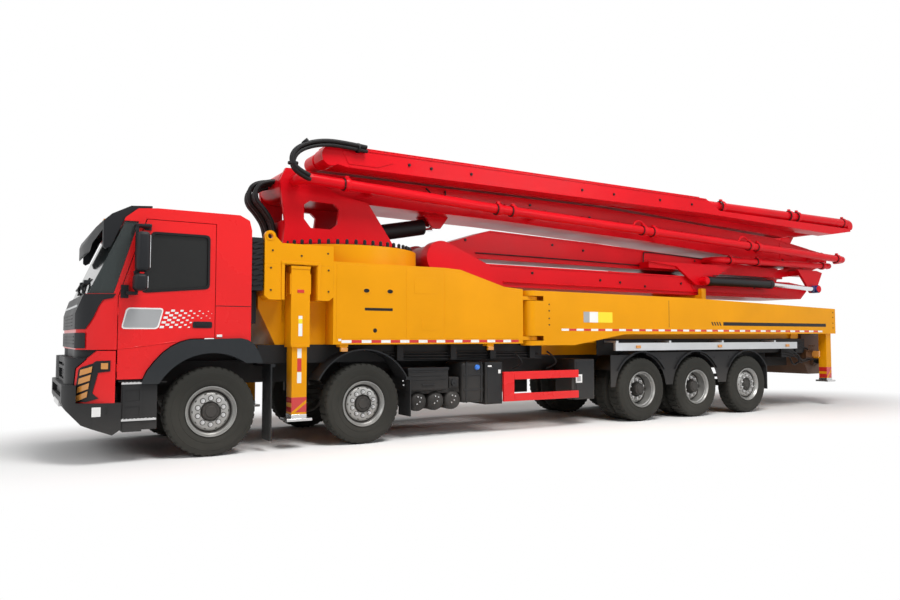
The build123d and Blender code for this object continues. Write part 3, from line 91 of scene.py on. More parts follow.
def buildWearGroup():
    # colour drift, dust low down and fine surface grain, all on Object coordinates
    group, source, sink = makeGroup("surfaceLife", [
        ("Color", "NodeSocketColor", (0.5, 0.5, 0.5, 1)), ("Drift", "NodeSocketFloat", 0.06),
        ("Dust", "NodeSocketFloat", 0.2), ("Roughness", "NodeSocketFloat", 0.4),
        ("Grain", "NodeSocketFloat", 400.0)],
        [("Color", "NodeSocketColor"), ("Roughness", "NodeSocketFloat"), ("Height", "NodeSocketFloat")])
    link = group.links.new
    place = nodeOf(group, "ShaderNodeTexCoord")
    broad = nodeOf(group, "ShaderNodeTexNoise")
    broad.inputs["Scale"].default_value = 1.3
    broad.inputs["Detail"].default_value = 5
    fine = nodeOf(group, "ShaderNodeTexNoise")
    fine.inputs["Detail"].default_value = 3
    link(place.outputs["Object"], broad.inputs["Vector"])
    link(place.outputs["Object"], fine.inputs["Vector"])
    link(source.outputs["Grain"], fine.inputs["Scale"])
    spread = nodeOf(group, "ShaderNodeMapRange")
    spread.inputs["From Min"].default_value = 0.3
    spread.inputs["From Max"].default_value = 0.7
    spread.inputs["To Min"].default_value = -1
    spread.inputs["To Max"].default_value = 1
    link(broad.outputs["Fac"], spread.inputs["Value"])
    amount = nodeOf(group, "ShaderNodeMath", operation="MULTIPLY_ADD")
    link(spread.outputs["Result"], amount.inputs[0])
    link(source.outputs["Drift"], amount.inputs[1])
    amount.inputs[2].default_value = 1
    shaded = nodeOf(group, "ShaderNodeHueSaturation")
    link(amount.outputs[0], shaded.inputs["Value"])
    link(source.outputs["Color"], shaded.inputs["Color"])
    # dust gathers below half a metre or so
    split = nodeOf(group, "ShaderNodeSeparateXYZ")
    link(place.outputs["Object"], split.inputs[0])
    low = nodeOf(group, "ShaderNodeMapRange")
    low.inputs["From Min"].default_value = 1.1
    low.inputs["From Max"].default_value = 0.0
    link(split.outputs["Z"], low.inputs["Value"])
    patch = nodeOf(group, "ShaderNodeMath", operation="MULTIPLY")
    link(low.outputs["Result"], patch.inputs[0])
    link(broad.outputs["Fac"], patch.inputs[1])
    dusty = nodeOf(group, "ShaderNodeMath", operation="MULTIPLY", use_clamp=True)
    link(patch.outputs[0], dusty.inputs[0])
    link(source.outputs["Dust"], dusty.inputs[1])
    mix = nodeOf(group, "ShaderNodeMix", data_type="RGBA")
    link(dusty.outputs[0], mix.inputs["Factor"])
    link(shaded.outputs["Color"], mix.inputs["A"])
    mix.inputs["B"].default_value = (0.36, 0.33, 0.29, 1)
    link(mix.outputs["Result"], sink.inputs["Color"])
    rough = nodeOf(group, "ShaderNodeMath", operation="MULTIPLY_ADD", use_clamp=True)
    link(spread.outputs["Result"], rough.inputs[0])
    rough.inputs[1].default_value = 0.05
    link(source.outputs["Roughness"], rough.inputs[2])
    link(rough.outputs[0], sink.inputs["Roughness"])
    link(fine.outputs["Fac"], sink.inputs["Height"])
    return group


wearGroup = buildWearGroup()


def makeFinish(name, color, rough=0.4, metal=0.0, coat=0.0, drift=0.06, dust=0.2, grain=400.0, bump=0.02,
               gloss=0.3, extra=None):
    material = bpy.data.materials.new(name)
    material.use_nodes = True
    tree = material.node_tree
    shader = tree.nodes["Principled BSDF"]
    life = nodeOf(tree, "ShaderNodeGroup", node_tree=wearGroup)
    life.inputs["Color"].default_value = (*color, 1)
    life.inputs["Drift"].default_value = drift
    life.inputs["Dust"].default_value = dust
    life.inputs["Roughness"].default_value = rough
    life.inputs["Grain"].default_value = grain
    shader.inputs["Metallic"].default_value = metal
    shader.inputs["Coat Weight"].default_value = coat
    shader.inputs["Coat Roughness"].default_value = 0.06
    shader.inputs["Specular IOR Level"].default_value = gloss
    tree.links.new(life.outputs["Color"], shader.inputs["Base Color"])
    tree.links.new(life.outputs["Roughness"], shader.inputs["Roughness"])
    relief = nodeOf(tree, "ShaderNodeBump")
    relief.inputs["Strength"].default_value = bump
    relief.inputs["Distance"].default_value = 0.002
    tree.links.new(life.outputs["Height"], relief.inputs["Height"])
    tree.links.new(relief.outputs["Normal"], shader.inputs["Normal"])
    if extra:
        extra(tree, shader, life, relief)
    return material


finishes = {
    "cabRed": makeFinish("cabRed", (0.74, 0.012, 0.014), 0.3, coat=0.1, drift=0.05, dust=0.12, gloss=0.24),
    "boomRed": makeFinish("boomRed", (0.62, 0.003, 0.010), 0.34, coat=0.03, drift=0.07, dust=0.06, gloss=0.12),
    "deckAmber": makeFinish("deckAmber", (0.73, 0.30, 0.002), 0.34, coat=0.03, drift=0.05, dust=0.06, gloss=0.12),
    "frameGrey": makeFinish("frameGrey", (0.014, 0.014, 0.015), 0.5, drift=0.2, dust=0.3, bump=0.05, gloss=0.18),
    "ironDark": makeFinish("ironDark", (0.016, 0.016, 0.017), 0.55, metal=0.2, drift=0.25, dust=0.4, bump=0.2,
                           gloss=0.2),
    "plasticBlack": makeFinish("plasticBlack", (0.011, 0.012, 0.014), 0.46, drift=0.1, grain=900, bump=0.12, gloss=0.2),
    "flareGrey": makeFinish("flareGrey", (0.020, 0.023, 0.026), 0.48, drift=0.1, grain=900, bump=0.15, gloss=0.2),
    "tyreBlack": makeFinish("tyreBlack", (0.024, 0.024, 0.021), 0.75, drift=0.2, dust=0.12, grain=220, bump=0.2,
                            gloss=0.15),
    "rimSilver": makeFinish("rimSilver", (0.34, 0.34, 0.33), 0.36, metal=0.7, drift=0.12, dust=0.3, bump=0.06),
    "steelBright": makeFinish("steelBright", (0.62, 0.62, 0.62), 0.28, metal=1.0, drift=0.06, bump=0.05),
    "railAlloy": makeFinish("railAlloy", (0.55, 0.56, 0.57), 0.38, metal=0.8, drift=0.08, bump=0.08),
    "chromeRod": makeFinish("chromeRod", (0.75, 0.76, 0.78), 0.12, metal=1.0, drift=0.02, bump=0.0),
    "hoseBlack": makeFinish("hoseBlack", (0.010, 0.010, 0.011), 0.5, drift=0.15, grain=700, bump=0.3, gloss=0.2),
    "rubberCap": makeFinish("rubberCap", (0.008, 0.008, 0.009), 0.4, drift=0.1, bump=0.05, gloss=0.22),
    "lensAmber": makeFinish("lensAmber", (0.62, 0.26, 0.05), 0.22, coat=0.8, drift=0.1, bump=0.0),
    "lensRed": makeFinish("lensRed", (0.55, 0.01, 0.01), 0.2, coat=0.8, drift=0.05, bump=0.0),
    "lensClear": makeFinish("lensClear", (0.62, 0.64, 0.66), 0.18, coat=0.8, drift=0.05, bump=0.0),
    "plateWhite": makeFinish("plateWhite", (0.8, 0.8, 0.79), 0.35, coat=0.3, drift=0.03, bump=0.0),
    "plateYellow": makeFinish("plateYellow", (0.85, 0.68, 0.02), 0.35, coat=0.3, drift=0.03, bump=0.0),
    "plateGrey": makeFinish("plateGrey", (0.35, 0.36, 0.37), 0.4, drift=0.05, bump=0.0),
    "tankBlue": makeFinish("tankBlue", (0.015, 0.03, 0.16), 0.35, coat=0.3, drift=0.05, bump=0.0),
    "capBlue": makeFinish("capBlue", (0.05, 0.22, 0.75), 0.35, coat=0.2, drift=0.05, bump=0.0),
    "hopperBrown": makeFinish("hopperBrown", (0.085, 0.034, 0.012), 0.55, drift=0.3, dust=0.6, bump=0.25),
    "seatGrey": makeFinish("seatGrey", (0.06, 0.06, 0.065), 0.8, drift=0.1, grain=500, bump=0.3),
}


def makeGlass(name, color, rough):
    material = bpy.data.materials.new(name)
    material.use_nodes = True
    tree = material.node_tree
    shader = tree.nodes["Principled BSDF"]
    shader.inputs["Base Color"].default_value = (*color, 1)
    shader.inputs["Roughness"].default_value = rough
    shader.inputs["IOR"].default_value = 1.45
    shader.inputs["Alpha"].default_value = 0.94
    shader.inputs["Specular IOR Level"].default_value = 0.22
    return material


finishes["glassDark"] = makeGlass("glassDark", (0.02, 0.021, 0.021), 0.06)
finishes["glassFront"] = makeGlass("glassFront", (0.045, 0.055, 0.055), 0.05)
finishes["glassFront"].node_tree.nodes["Principled BSDF"].inputs["Alpha"].default_value = 0.85
print("finishes made")

# CAD nodes and their finishes
nodeFinish = {
    "railAlloy": ["catwalk_rail"],
    "cabRed": ["cab_shell", "cab_door_left", "cab_door_right", "front_panel"],
    "glassDark": ["door_glass_left", "door_glass_right"],
    "glassFront": ["windscreen"],
    "plasticBlack": ["grille", "bumper", "sun_visor", "cab_steps", "air_intake", "mirror_left", "mirror_right",
                     "mudguards"],
    "flareGrey": ["cab_trim"],
    "seatGrey": ["cab_interior"],
    "lensAmber": ["lamps"],
    "frameGrey": ["chassis_frame", "side_tanks"],
    "ironDark": ["engine_block", "axle_beams", "knuckle_1_left", "knuckle_1_right", "knuckle_2_left",
                 "knuckle_2_right"],
    "deckAmber": ["body_deck", "rear_body", "front_arm_left", "front_arm_right", "front_leg_left",
                  "front_leg_right", "rear_beam_left", "rear_beam_right", "rear_leg_left", "rear_leg_right"],
    "hopperBrown": ["hopper"],
    "boomRed": ["turret", "boom_1", "boom_2", "boom_3", "boom_4", "boom_5", "boom_6", "side_guards"],
    "hoseBlack": ["lift_barrel", "turret_hoses", "fold_hoses"],
    "chromeRod": ["lift_rod"],
}
for finishName, nodeNames in nodeFinish.items():
    for nodeName in nodeNames:
        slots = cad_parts[nodeName].material_slots
        for one in slots:
            one.material = finishes[finishName]
for wheelNumber in range(1, 6):
    for sideName in ("left", "right"):
        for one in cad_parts[f"wheel_{wheelNumber}_{sideName}"].material_slots:
            one.material = finishes["tyreBlack"]
print("CAD nodes finished")

# shape helpers


def closeForm(form, name, finish, body, bevel=0.0, smooth=True, replaced=()):
    # the finished bmesh becomes a piece that rides on its body
    bmesh.ops.recalc_face_normals(form, faces=form.faces)
    mesh = bpy.data.meshes.new(name)
    form.to_mesh(mesh)
    form.free()
    mesh.materials.append(finishes[finish])
    if smooth:
        for face in mesh.polygons:
            face.use_smooth = True
        mesh.set_sharp_from_angle(angle=radians(32))
    piece = bpy.data.objects.new(name, mesh)
    scene.collection.objects.link(piece)
    if bevel:
        edge = piece.modifiers.new("softEdge", "BEVEL")
        edge.width = bevel
        edge.segments = 2
        edge.limit_method = "ANGLE"
        edge.angle_limit = radians(40)
    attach(piece, body)
    if replaced:
        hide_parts(*replaced)
    return piece


def addBlock(form, low, high):
    size = [high[i] - low[i] for i in range(3)]
    middle = [(high[i] + low[i]) / 2 for i in range(3)]
    place = Matrix.Translation(middle) @ Matrix.Diagonal((*size, 1))
    return bmesh.ops.create_cube(form, size=1, matrix=place)["verts"]


def addRound(form, start, end, radius, segments=24, endRadius=None):
    start, end = Vector(start), Vector(end)
    run = end - start
    place = Matrix.Translation((start + end) / 2) @ run.to_track_quat("Z", "Y").to_matrix().to_4x4()
    return bmesh.ops.create_cone(form, cap_ends=True, segments=segments, radius1=radius,
                                 radius2=radius if endRadius is None else endRadius,
                                 depth=run.length, matrix=place)["verts"]


def addBall(form, place, radius, segments=16):
    return bmesh.ops.create_uvsphere(form, u_segments=segments, v_segments=segments // 2, radius=radius,
                                     matrix=Matrix.Translation(place))["verts"]


def addPlate(form, points, low, high):
    # points are x and z; the plate lies between y = low and y = high
    corners = [form.verts.new((x, low, z)) for x, z in points]
    face = form.faces.new(corners)
    moved = bmesh.ops.extrude_face_region(form, geom=[face])["geom"]
    bmesh.ops.translate(form, verts=[v for v in moved if isinstance(v, bmesh.types.BMVert)],
                        vec=(0, high - low, 0))


def spinRing(form, profile, centre, axis, steps, closed=True):
    # profile holds distances from the axis and places along it
    axis = Vector(axis)
    side = Vector((0, 0, 1)) if abs(axis.z) < 0.5 else Vector((1, 0, 0))
    corners = [form.verts.new(Vector(centre) + side * reach + axis * along) for reach, along in profile]
    edges = [form.edges.new(pair) for pair in zip(corners, corners[1:])]
    if closed:
        edges.append(form.edges.new((corners[-1], corners[0])))
    bmesh.ops.spin(form, geom=corners + edges, cent=centre, axis=axis, dvec=(0, 0, 0), angle=2 * pi,
                   steps=steps, use_merge=True, use_duplicate=False)
    bmesh.ops.remove_doubles(form, verts=form.verts, dist=0.00005)


def makeTube(name, points, radius, finish, body, cyclic=False, resolution=6):
    # a smooth bent line with a round section
    curve = bpy.data.curves.new(name, "CURVE")
    curve.dimensions = "3D"
    curve.bevel_depth = radius
    curve.bevel_resolution = 3
    curve.resolution_u = resolution
    curve.use_fill_caps = True
    spline = curve.splines.new("NURBS")
    spline.points.add(len(points) - 1)
    for point, place in zip(spline.points, points):
        point.co = (*place, 1)
    spline.order_u = 3
    spline.use_endpoint_u = True
    spline.use_cyclic_u = cyclic
    curve.materials.append(finishes[finish])
    piece = bpy.data.objects.new(name, curve)
    scene.collection.objects.link(piece)
    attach(piece, body)
    return piece


# wheels
tyreShape = {"outer": 0.537, "width": 0.300, "bead": 0.302, "steps": 120, "lugDepth": 0.009}


def buildTyre(form, centre, sideSign, faceY):
    # faceY is the outer face; the section runs over the tread and down both walls
    w = tyreShape["width"]
    r = tyreShape["outer"]
    half = [(tyreShape["bead"], 0.022), (0.322, 0.008), (0.350, 0.003), (0.372, 0.002), (0.376, 0.005),
            (0.410, 0.001), (0.440, 0.0), (0.462, 0.002), (0.466, 0.006), (0.492, 0.010), (0.512, 0.020),
            (0.524, 0.026), (0.532, 0.038), (r - 0.002, 0.060), (r - 0.001, 0.078), (r - 0.012, 0.080),
            (r - 0.012, 0.088), (r, 0.090), (r, 0.112), (r - 0.012, 0.114), (r - 0.012, 0.122), (r, 0.124),
            (r, 0.143), (r - 0.012, 0.145)]
    profile = half + [(reach, w - along) for reach, along in reversed(half)]
    profile = [(reach, -sideSign * along) for reach, along in profile]
    spinRing(form, profile, (centre[0], faceY, centre[1]), (0, 1, 0), tyreShape["steps"])
    # shoulder and rib blocks, cut between by sinking every third step's faces
    sunk = []
    for face in form.faces:
        middle = face.calc_center_median()
        reach = Vector((middle.x - centre[0], middle.z - centre[1]))
        depth = abs(middle.y - faceY)
        turn = int(round((atan2(reach.y, reach.x) / (2 * pi)) * tyreShape["steps"] + 1000.5))
        edgeBand = 0.022 < depth < 0.070 or 0.230 < depth < 0.278
        ribBand = 0.092 < depth < 0.111 or 0.189 < depth < 0.208 or 0.125 < depth < 0.142 or 0.158 < depth < 0.175
        if reach.length > 0.515 and ((edgeBand and turn % 3 == 0) or (ribBand and turn % 4 == 0)):
            sunk.append(face)
    bmesh.ops.inset_region(form, faces=sunk, thickness=0.0012, depth=-tyreShape["lugDepth"],
                           use_even_offset=True)


rimShapes = {
    "single": {"face": [(0.302, 0.030), (0.304, 0.010), (0.300, 0.002), (0.293, 0.002), (0.288, 0.012),
                        (0.280, 0.020), (0.272, 0.036), (0.262, 0.042), (0.256, 0.066), (0.244, 0.078),
                        (0.232, 0.066), (0.218, 0.052), (0.200, 0.046), (0.124, 0.044), (0.122, 0.052)],
               "back": [(0.122, 0.066), (0.200, 0.064), (0.232, 0.084), (0.256, 0.100), (0.268, 0.270),
                        (0.302, 0.290)],
               "studs": 0.046, "studRing": 0.158, "holes": 0.205, "hubReach": 0.020},
    "deep": {"face": [(0.302, 0.030), (0.304, 0.010), (0.300, 0.002), (0.293, 0.002), (0.288, 0.012),
                      (0.281, 0.022), (0.274, 0.050), (0.262, 0.056), (0.256, 0.150), (0.246, 0.190),
                      (0.230, 0.184), (0.212, 0.165), (0.190, 0.158), (0.134, 0.156), (0.132, 0.162)],
             "back": [(0.132, 0.176), (0.200, 0.178), (0.240, 0.206), (0.262, 0.220), (0.270, 0.280),
                      (0.302, 0.290)],
             "studs": 0.158, "studRing": 0.160, "holes": 0.222, "hubReach": 0.045},
    "inner": {"face": [(0.302, 0.030), (0.302, 0.010), (0.288, 0.012), (0.280, 0.040), (0.262, 0.060),
                       (0.258, 0.130), (0.120, 0.140)],
              "back": [(0.120, 0.155), (0.255, 0.150), (0.270, 0.280), (0.302, 0.290)],
              "studs": None},
}


def buildRim(form, kind, centre, sideSign, faceY):
    shape = rimShapes[kind]
    profile = [(reach, -sideSign * along) for reach, along in shape["face"] + shape["back"]]
    spinRing(form, profile, (centre[0], faceY, centre[1]), (0, 1, 0), 64)


def buildNuts(form, kind, centre, sideSign, faceY):
    shape = rimShapes[kind]
    for step in range(10):
        turn = step * pi / 5 + pi / 10
        x, z = centre[0] + cos(turn) * shape["studRing"], centre[1] + sin(turn) * shape["studRing"]
        base = faceY - sideSign * shape["studs"]
        addRound(form, (x, base - sideSign * 0.004, z), (x, base + sideSign * 0.006, z), 0.025, 16)
        addRound(form, (x, base + sideSign * 0.004, z), (x, base + sideSign * 0.030, z), 0.020, 6)
        addRound(form, (x, base + sideSign * 0.020, z), (x, base + sideSign * 0.042, z), 0.011, 10)


def buildHub(form, kind, centre, sideSign, faceY):
    shape = rimShapes[kind]
    out = shape["hubReach"]
    deep = shape["studs"] + 0.02
    hub = [(0.001, out), (0.060, out), (0.066, out + 0.004), (0.070, out + 0.012), (0.096, out + 0.014),
           (0.102, out + 0.020), (0.108, min(out + 0.05, deep - 0.004)), (0.121, deep - 0.003), (0.121, deep + 0.06),
           (0.001, deep + 0.06)]
    profile = [(reach, -sideSign * along) for reach, along in hub]
    spinRing(form, profile, (centre[0], faceY, centre[1]), (0, 1, 0), 40)
    for step in range(8):
        turn = step * pi / 4
        x, z = centre[0] + cos(turn) * 0.085, centre[1] + sin(turn) * 0.085
        base = faceY - sideSign * (out + 0.014)
        addRound(form, (x, base, z), (x, base + sideSign * 0.010, z), 0.008, 6)


def buildHolesAndShade(form, kind, centre, sideSign, faceY):
    # dark hand holes round the disc, with painted shadow rings under the nuts and painted shade lining the rim well
    shape = rimShapes[kind]
    for step in range(10):  # shaded seats under the nuts
        turn = step * pi / 5 + pi / 10
        x, z = centre[0] + cos(turn) * shape["studRing"], centre[1] + sin(turn) * shape["studRing"]
        base = faceY - sideSign * shape["studs"]
        addRound(form, (x, base - sideSign * 0.003, z), (x, base + sideSign * 0.002, z), 0.034, 20)
    # dark ring lining the rim well between lip and disc: painted shade in the well
    wellShadeProfile = [(0.2635, 0.040), (0.2575, 0.064), (0.245, 0.0755), (0.234, 0.066)] if kind == "single" else [
        (0.2635, 0.054), (0.2575, 0.148), (0.247, 0.187), (0.232, 0.183)]
    wellShadeRing = [(reach, along - 0.0015) for reach, along in wellShadeProfile] + [(reach, along + 0.004) for reach,
                                                                  along in reversed(wellShadeProfile)]
    spinRing(form, [(reach, -sideSign * along) for reach, along in wellShadeRing], (centre[0], faceY, centre[1]), (0, 1, 0), 64)
    for step in range(10):
        turn = step * pi / 5
        x, z = centre[0] + cos(turn) * shape["holes"], centre[1] + sin(turn) * shape["holes"]
        base = faceY - sideSign * (0.050 if kind == "single" else 0.164)
        addRound(form, (x, base - sideSign * 0.006, z), (x, base + sideSign * 0.0015, z), 0.0165, 20)


for wheelNumber in range(1, 6):
    for sideName, sideSign in (("left", 1), ("right", -1)):
        node = f"wheel_{wheelNumber}_{sideName}"
        low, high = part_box(node)
        centre = ((low.x + high.x) / 2, (low.z + high.z) / 2)
        outerY = high.y if sideSign > 0 else low.y
        twin = wheelNumber in (3, 4)
        kind = "deep" if twin else "single"
        tyreForm = bmesh.new()
        buildTyre(tyreForm, centre, sideSign, outerY)
        if twin:
            twinForm = bmesh.new()
            buildTyre(twinForm, centre, sideSign, outerY - sideSign * 0.345)
            closeForm(twinForm, f"innerTyre_{wheelNumber}_{sideName}", "tyreBlack", node)
        closeForm(tyreForm, f"tyre_{wheelNumber}_{sideName}", "tyreBlack", node, replaced=[node])
        rimForm = bmesh.new()
        buildRim(rimForm, kind, centre, sideSign, outerY)
        if twin:
            buildRim(rimForm, "inner", centre, sideSign, outerY - sideSign * 0.345)
        closeForm(rimForm, f"rim_{wheelNumber}_{sideName}", "rimSilver", node)
        nutForm = bmesh.new()
        buildNuts(nutForm, kind, centre, sideSign, outerY)
        closeForm(nutForm, f"nuts_{wheelNumber}_{sideName}", "steelBright", node)
        hubAndShadeForm = bmesh.new()
        buildHub(hubAndShadeForm, kind, centre, sideSign, outerY)
        # the hub piece also carries the painted shadow under the nuts and the painted shade in the rim well
        buildHolesAndShade(hubAndShadeForm, kind, centre, sideSign, outerY)
        closeForm(hubAndShadeForm, f"hub_{wheelNumber}_{sideName}", "ironDark", node)
print("wheels built")


def at(behind):
    # a place along the truck, from the first axle
    return axle1X + behind


def bothSides():
    return (("left", 1), ("right", -1))


def sideBlock(form, sign, xLow, xHigh, yIn, yOut, zLow, zHigh):
    yLow, yHigh = sorted((sign * yIn, sign * yOut))
    return addBlock(form, (min(xLow, xHigh), yLow, zLow), (max(xLow, xHigh), yHigh, zHigh))


def sidePlate(form, sign, points, yIn, yOut):
    yLow, yHigh = sorted((sign * yIn, sign * yOut))
    addPlate(form, [(at(x), z) for x, z in points], yLow, yHigh)


def sideRound(form, sign, x, z, yIn, yOut, radius, segments=20, endRadius=None):
    addRound(form, (at(x), sign * yIn, z), (at(x), sign * yOut, z), radius, segments, endRadius)


# reflective tape, stripes and blank plates
tapeRuns = {
    "deck": {"front": -1.66, "rear": -4.60, "zLow": 1.350, "zHigh": 1.388, "face": 1.250, "pitch": 0.145},
    "beam": {"front": -5.40, "rear": -12.52, "zLow": 1.528, "zHigh": 1.562, "face": 1.250, "pitch": 0.155},
}


def buildTape(run, sideName, sign, body):
    for colour, offset in (("plateWhite", 0), ("lensRed", 1)):
        form = bmesh.new()
        x = run["front"] - offset * run["pitch"]
        while x - run["pitch"] > run["rear"]:
            sideBlock(form, sign, at(x), at(x - run["pitch"] + 0.004), run["face"], run["face"] + 0.0012,
                      run["zLow"], run["zHigh"])
            x -= 2 * run["pitch"]
        closeForm(form, f"{body}_tape_{colour}_{sideName}", colour, body, smooth=False)


for sideName, sign in bothSides():
    buildTape(tapeRuns["deck"], f"deck_{sideName}", sign, "chassis")
    buildTape(tapeRuns["beam"], sideName, sign, f"rear_beam_{sideName}")

stripe = {"front": -9.27, "rear": -12.50, "zLow": 1.640, "zHigh": 1.705, "face": 1.250}
for sideName, sign in bothSides():
    body = f"rear_beam_{sideName}"
    form = bmesh.new()
    sideBlock(form, sign, at(stripe["front"]), at(stripe["rear"]), stripe["face"], stripe["face"] + 0.0012,
              stripe["zLow"], stripe["zHigh"])
    for step in range(4):  # slanted bars run ahead of the stripe
        x = stripe["front"] + 0.05 + step * 0.07
        sidePlate(form, sign, ((x, 1.640), (x + 0.035, 1.640), (x + 0.075, 1.705), (x + 0.04, 1.705)),
                  stripe["face"], stripe["face"] + 0.0012)
    closeForm(form, f"beamStripe_{sideName}", "rubberCap", body, smooth=False)
    for colour, front, rear in (("plateGrey", -5.86, -5.985), ("plateWhite", -5.988, -6.17),
                                ("plateYellow", -6.173, -6.49)):
        form = bmesh.new()
        sideBlock(form, sign, at(front), at(rear), 1.2502, 1.2516, 1.665, 1.838)
        closeForm(form, f"beamPlate_{colour}_{sideName}", colour, body, smooth=False)
    form = bmesh.new()  # joint in the side sheet
    sideBlock(form, sign, at(-7.830), at(-7.838), 1.2500, 1.2508, 1.598, 2.07)
    for x in (-5.15, -12.75):
        for z in (1.62, 1.72, 1.84, 1.94):
            sideRound(form, sign, x, z, 1.250, 1.256, 0.012, 12)
    closeForm(form, f"beamSeam_{sideName}", "frameGrey", body, smooth=False)
print("tape and stripes laid")

# deck side doors, recesses and caps
deckPanels = {
    "door": ((-1.585, 1.405), (-2.585, 1.405), (-2.585, 2.385), (-1.585, 2.395)),
    "strip": ((-2.625, 1.405), (-3.205, 1.405), (-3.205, 2.375), (-2.625, 2.385)),
    "rear": ((-3.245, 1.405), (-4.560, 1.405), (-4.560, 2.125), (-4.280, 2.150), (-3.560, 2.345), (-3.245, 2.375)),
}
hatches = {"upper": (-2.747, -3.121, 2.037, 2.266), "lower": (-2.871, -3.121, 1.521, 1.700)}
for sideName, sign in bothSides():
    for panelName, outline in deckPanels.items():
        form = bmesh.new()
        sidePlate(form, sign, outline, 1.2480, 1.2535)
        closeForm(form, f"deckPanel_{panelName}_{sideName}", "deckAmber", "chassis", bevel=0.002)
    form = bmesh.new()
    for front, rear, low, high in hatches.values():
        sideBlock(form, sign, at(front), at(rear), 1.2530, 1.2565, low, high)
    closeForm(form, f"hatches_{sideName}", "deckAmber", "chassis", bevel=0.0015)
    form = bmesh.new()
    for x in (-2.015, -2.368):  # oval pull recesses
        spinRing(form, [(0.030, 0.0), (0.044, 0.0), (0.046, 0.004), (0.038, 0.007), (0.030, 0.005)],
                 (at(x), sign * 1.2535, 2.052), (0, sign, 0), 32)
    verts = [v for v in form.verts]
    for x in (-2.015, -2.368):
        near = [v for v in verts if abs(v.co.x - at(x)) < 0.1]
        bmesh.ops.scale(form, verts=near, vec=(1.45, 1, 0.92),
                        space=Matrix.Translation((-at(x), 0, -2.052)))
    closeForm(form, f"recessRims_{sideName}", "deckAmber", "chassis")
    form = bmesh.new()
    for x in (-2.015, -2.368):
        made = addRound(form, (at(x), sign * 1.2520, 2.052), (at(x), sign * 1.2545, 2.052), 0.031, 28)
        bmesh.ops.scale(form, verts=made, vec=(1.4, 1, 0.9), space=Matrix.Translation((-at(x), 0, -2.052)))
    sideRound(form, sign, -2.145, 1.517, 1.2530, 1.2590, 0.030, 28, 0.026)
    sideBlock(form, sign, at(-1.99), at(-2.41), 1.2535, 1.2545, 1.785, 1.822)
    sideRound(form, sign, -2.39, 2.05, 1.2545, 1.262, 0.014, 16)
    closeForm(form, f"recessFloors_{sideName}", "rubberCap", "chassis")
    form = bmesh.new()
    sideBlock(form, sign, at(-1.615), at(-1.655), 1.2502, 1.2514, 1.375, 1.515)
    closeForm(form, f"deckLabel_{sideName}", "plateWhite", "chassis", smooth=False)
    form = bmesh.new()
    for x in (-1.70, -4.046):  # lamp brackets under the deck
        sideBlock(form, sign, at(x - 0.06), at(x + 0.06), 1.12, 1.235, 1.296, 1.329)
        sideBlock(form, sign, at(x - 0.045), at(x + 0.045), 1.205, 1.235, 1.235, 1.30)
    closeForm(form, f"lampBrackets_{sideName}", "deckAmber", "chassis", bevel=0.003)
    form = bmesh.new()
    for x, z in ((-1.70, 1.262), (-4.046, 1.262), (-7.08, 1.262), (-9.167, 1.262), (-11.19, 1.262)):
        sideBlock(form, sign, at(x - 0.05), at(x + 0.05), 1.236 if x > -5 else 1.246,
                  1.256 if x > -5 else 1.264, z - 0.026, z + 0.026)
    closeForm(form, f"sideMarkers_{sideName}", "lensAmber", "chassis", bevel=0.007)
print("deck doors dressed")

# slew ring bolts
slewRing = {"x": -2.13, "radius": 1.075, "count": 54, "foot": 2.680, "reach": 0.062}
form = bmesh.new()
for step in range(slewRing["count"]):
    turn = 2 * pi * step / slewRing["count"]
    x = at(slewRing["x"]) + cos(turn) * slewRing["radius"]
    y = sin(turn) * slewRing["radius"]
    addRound(form, (x, y, slewRing["foot"]), (x, y, slewRing["foot"] + slewRing["reach"]), 0.024, 14)
    addBall(form, (x, y, slewRing["foot"] + slewRing["reach"]), 0.024, 12)
closeForm(form, "slewBolts", "rubberCap", "chassis")
form = bmesh.new()
spinRing(form, [(1.040, 0.0), (1.115, 0.0), (1.115, 0.012), (1.040, 0.012)],
         (at(slewRing["x"]), 0, slewRing["foot"]), (0, 0, 1), 96)
closeForm(form, "slewFlange", "frameGrey", "chassis", bevel=0.002)

# front housing: hood edges, bolts, lifting eyes
for sideName, sign in bothSides():
    form = bmesh.new()
    for front, rear in ((-0.835, -0.872), (-1.318, -1.355)):
        sideBlock(form, sign, at(front), at(rear), 1.244, 1.262, 1.905, 2.36)
    sideBlock(form, sign, at(-0.835), at(-1.355), 1.244, 1.262, 2.36, 2.395)
    spinRing(form, [(0.034, 0.0), (0.058, 0.0), (0.058, 0.008), (0.034, 0.008)],
             (at(-0.69), sign * 1.250, 2.70), (0, sign, 0), 32)
    spinRing(form, [(0.034, 0.0), (0.058, 0.0), (0.058, 0.008), (0.034, 0.008)],
             (at(-0.69), sign * 1.182, 2.70), (0, sign, 0), 32)
    closeForm(form, f"hoodEdges_{sideName}", "deckAmber", "chassis", bevel=0.003)
    form = bmesh.new()
    for x, z in ((-0.72, 2.52), (-1.10, 2.47), (-1.46, 2.52), (-0.70, 2.02), (-1.47, 2.02), (-0.70, 2.30),
                 (-1.47, 2.30)):
        sideRound(form, sign, x, z, 1.250, 1.258, 0.013, 6)
    closeForm(form, f"hoodBolts_{sideName}", "frameGrey", "chassis")
print("housing dressed")
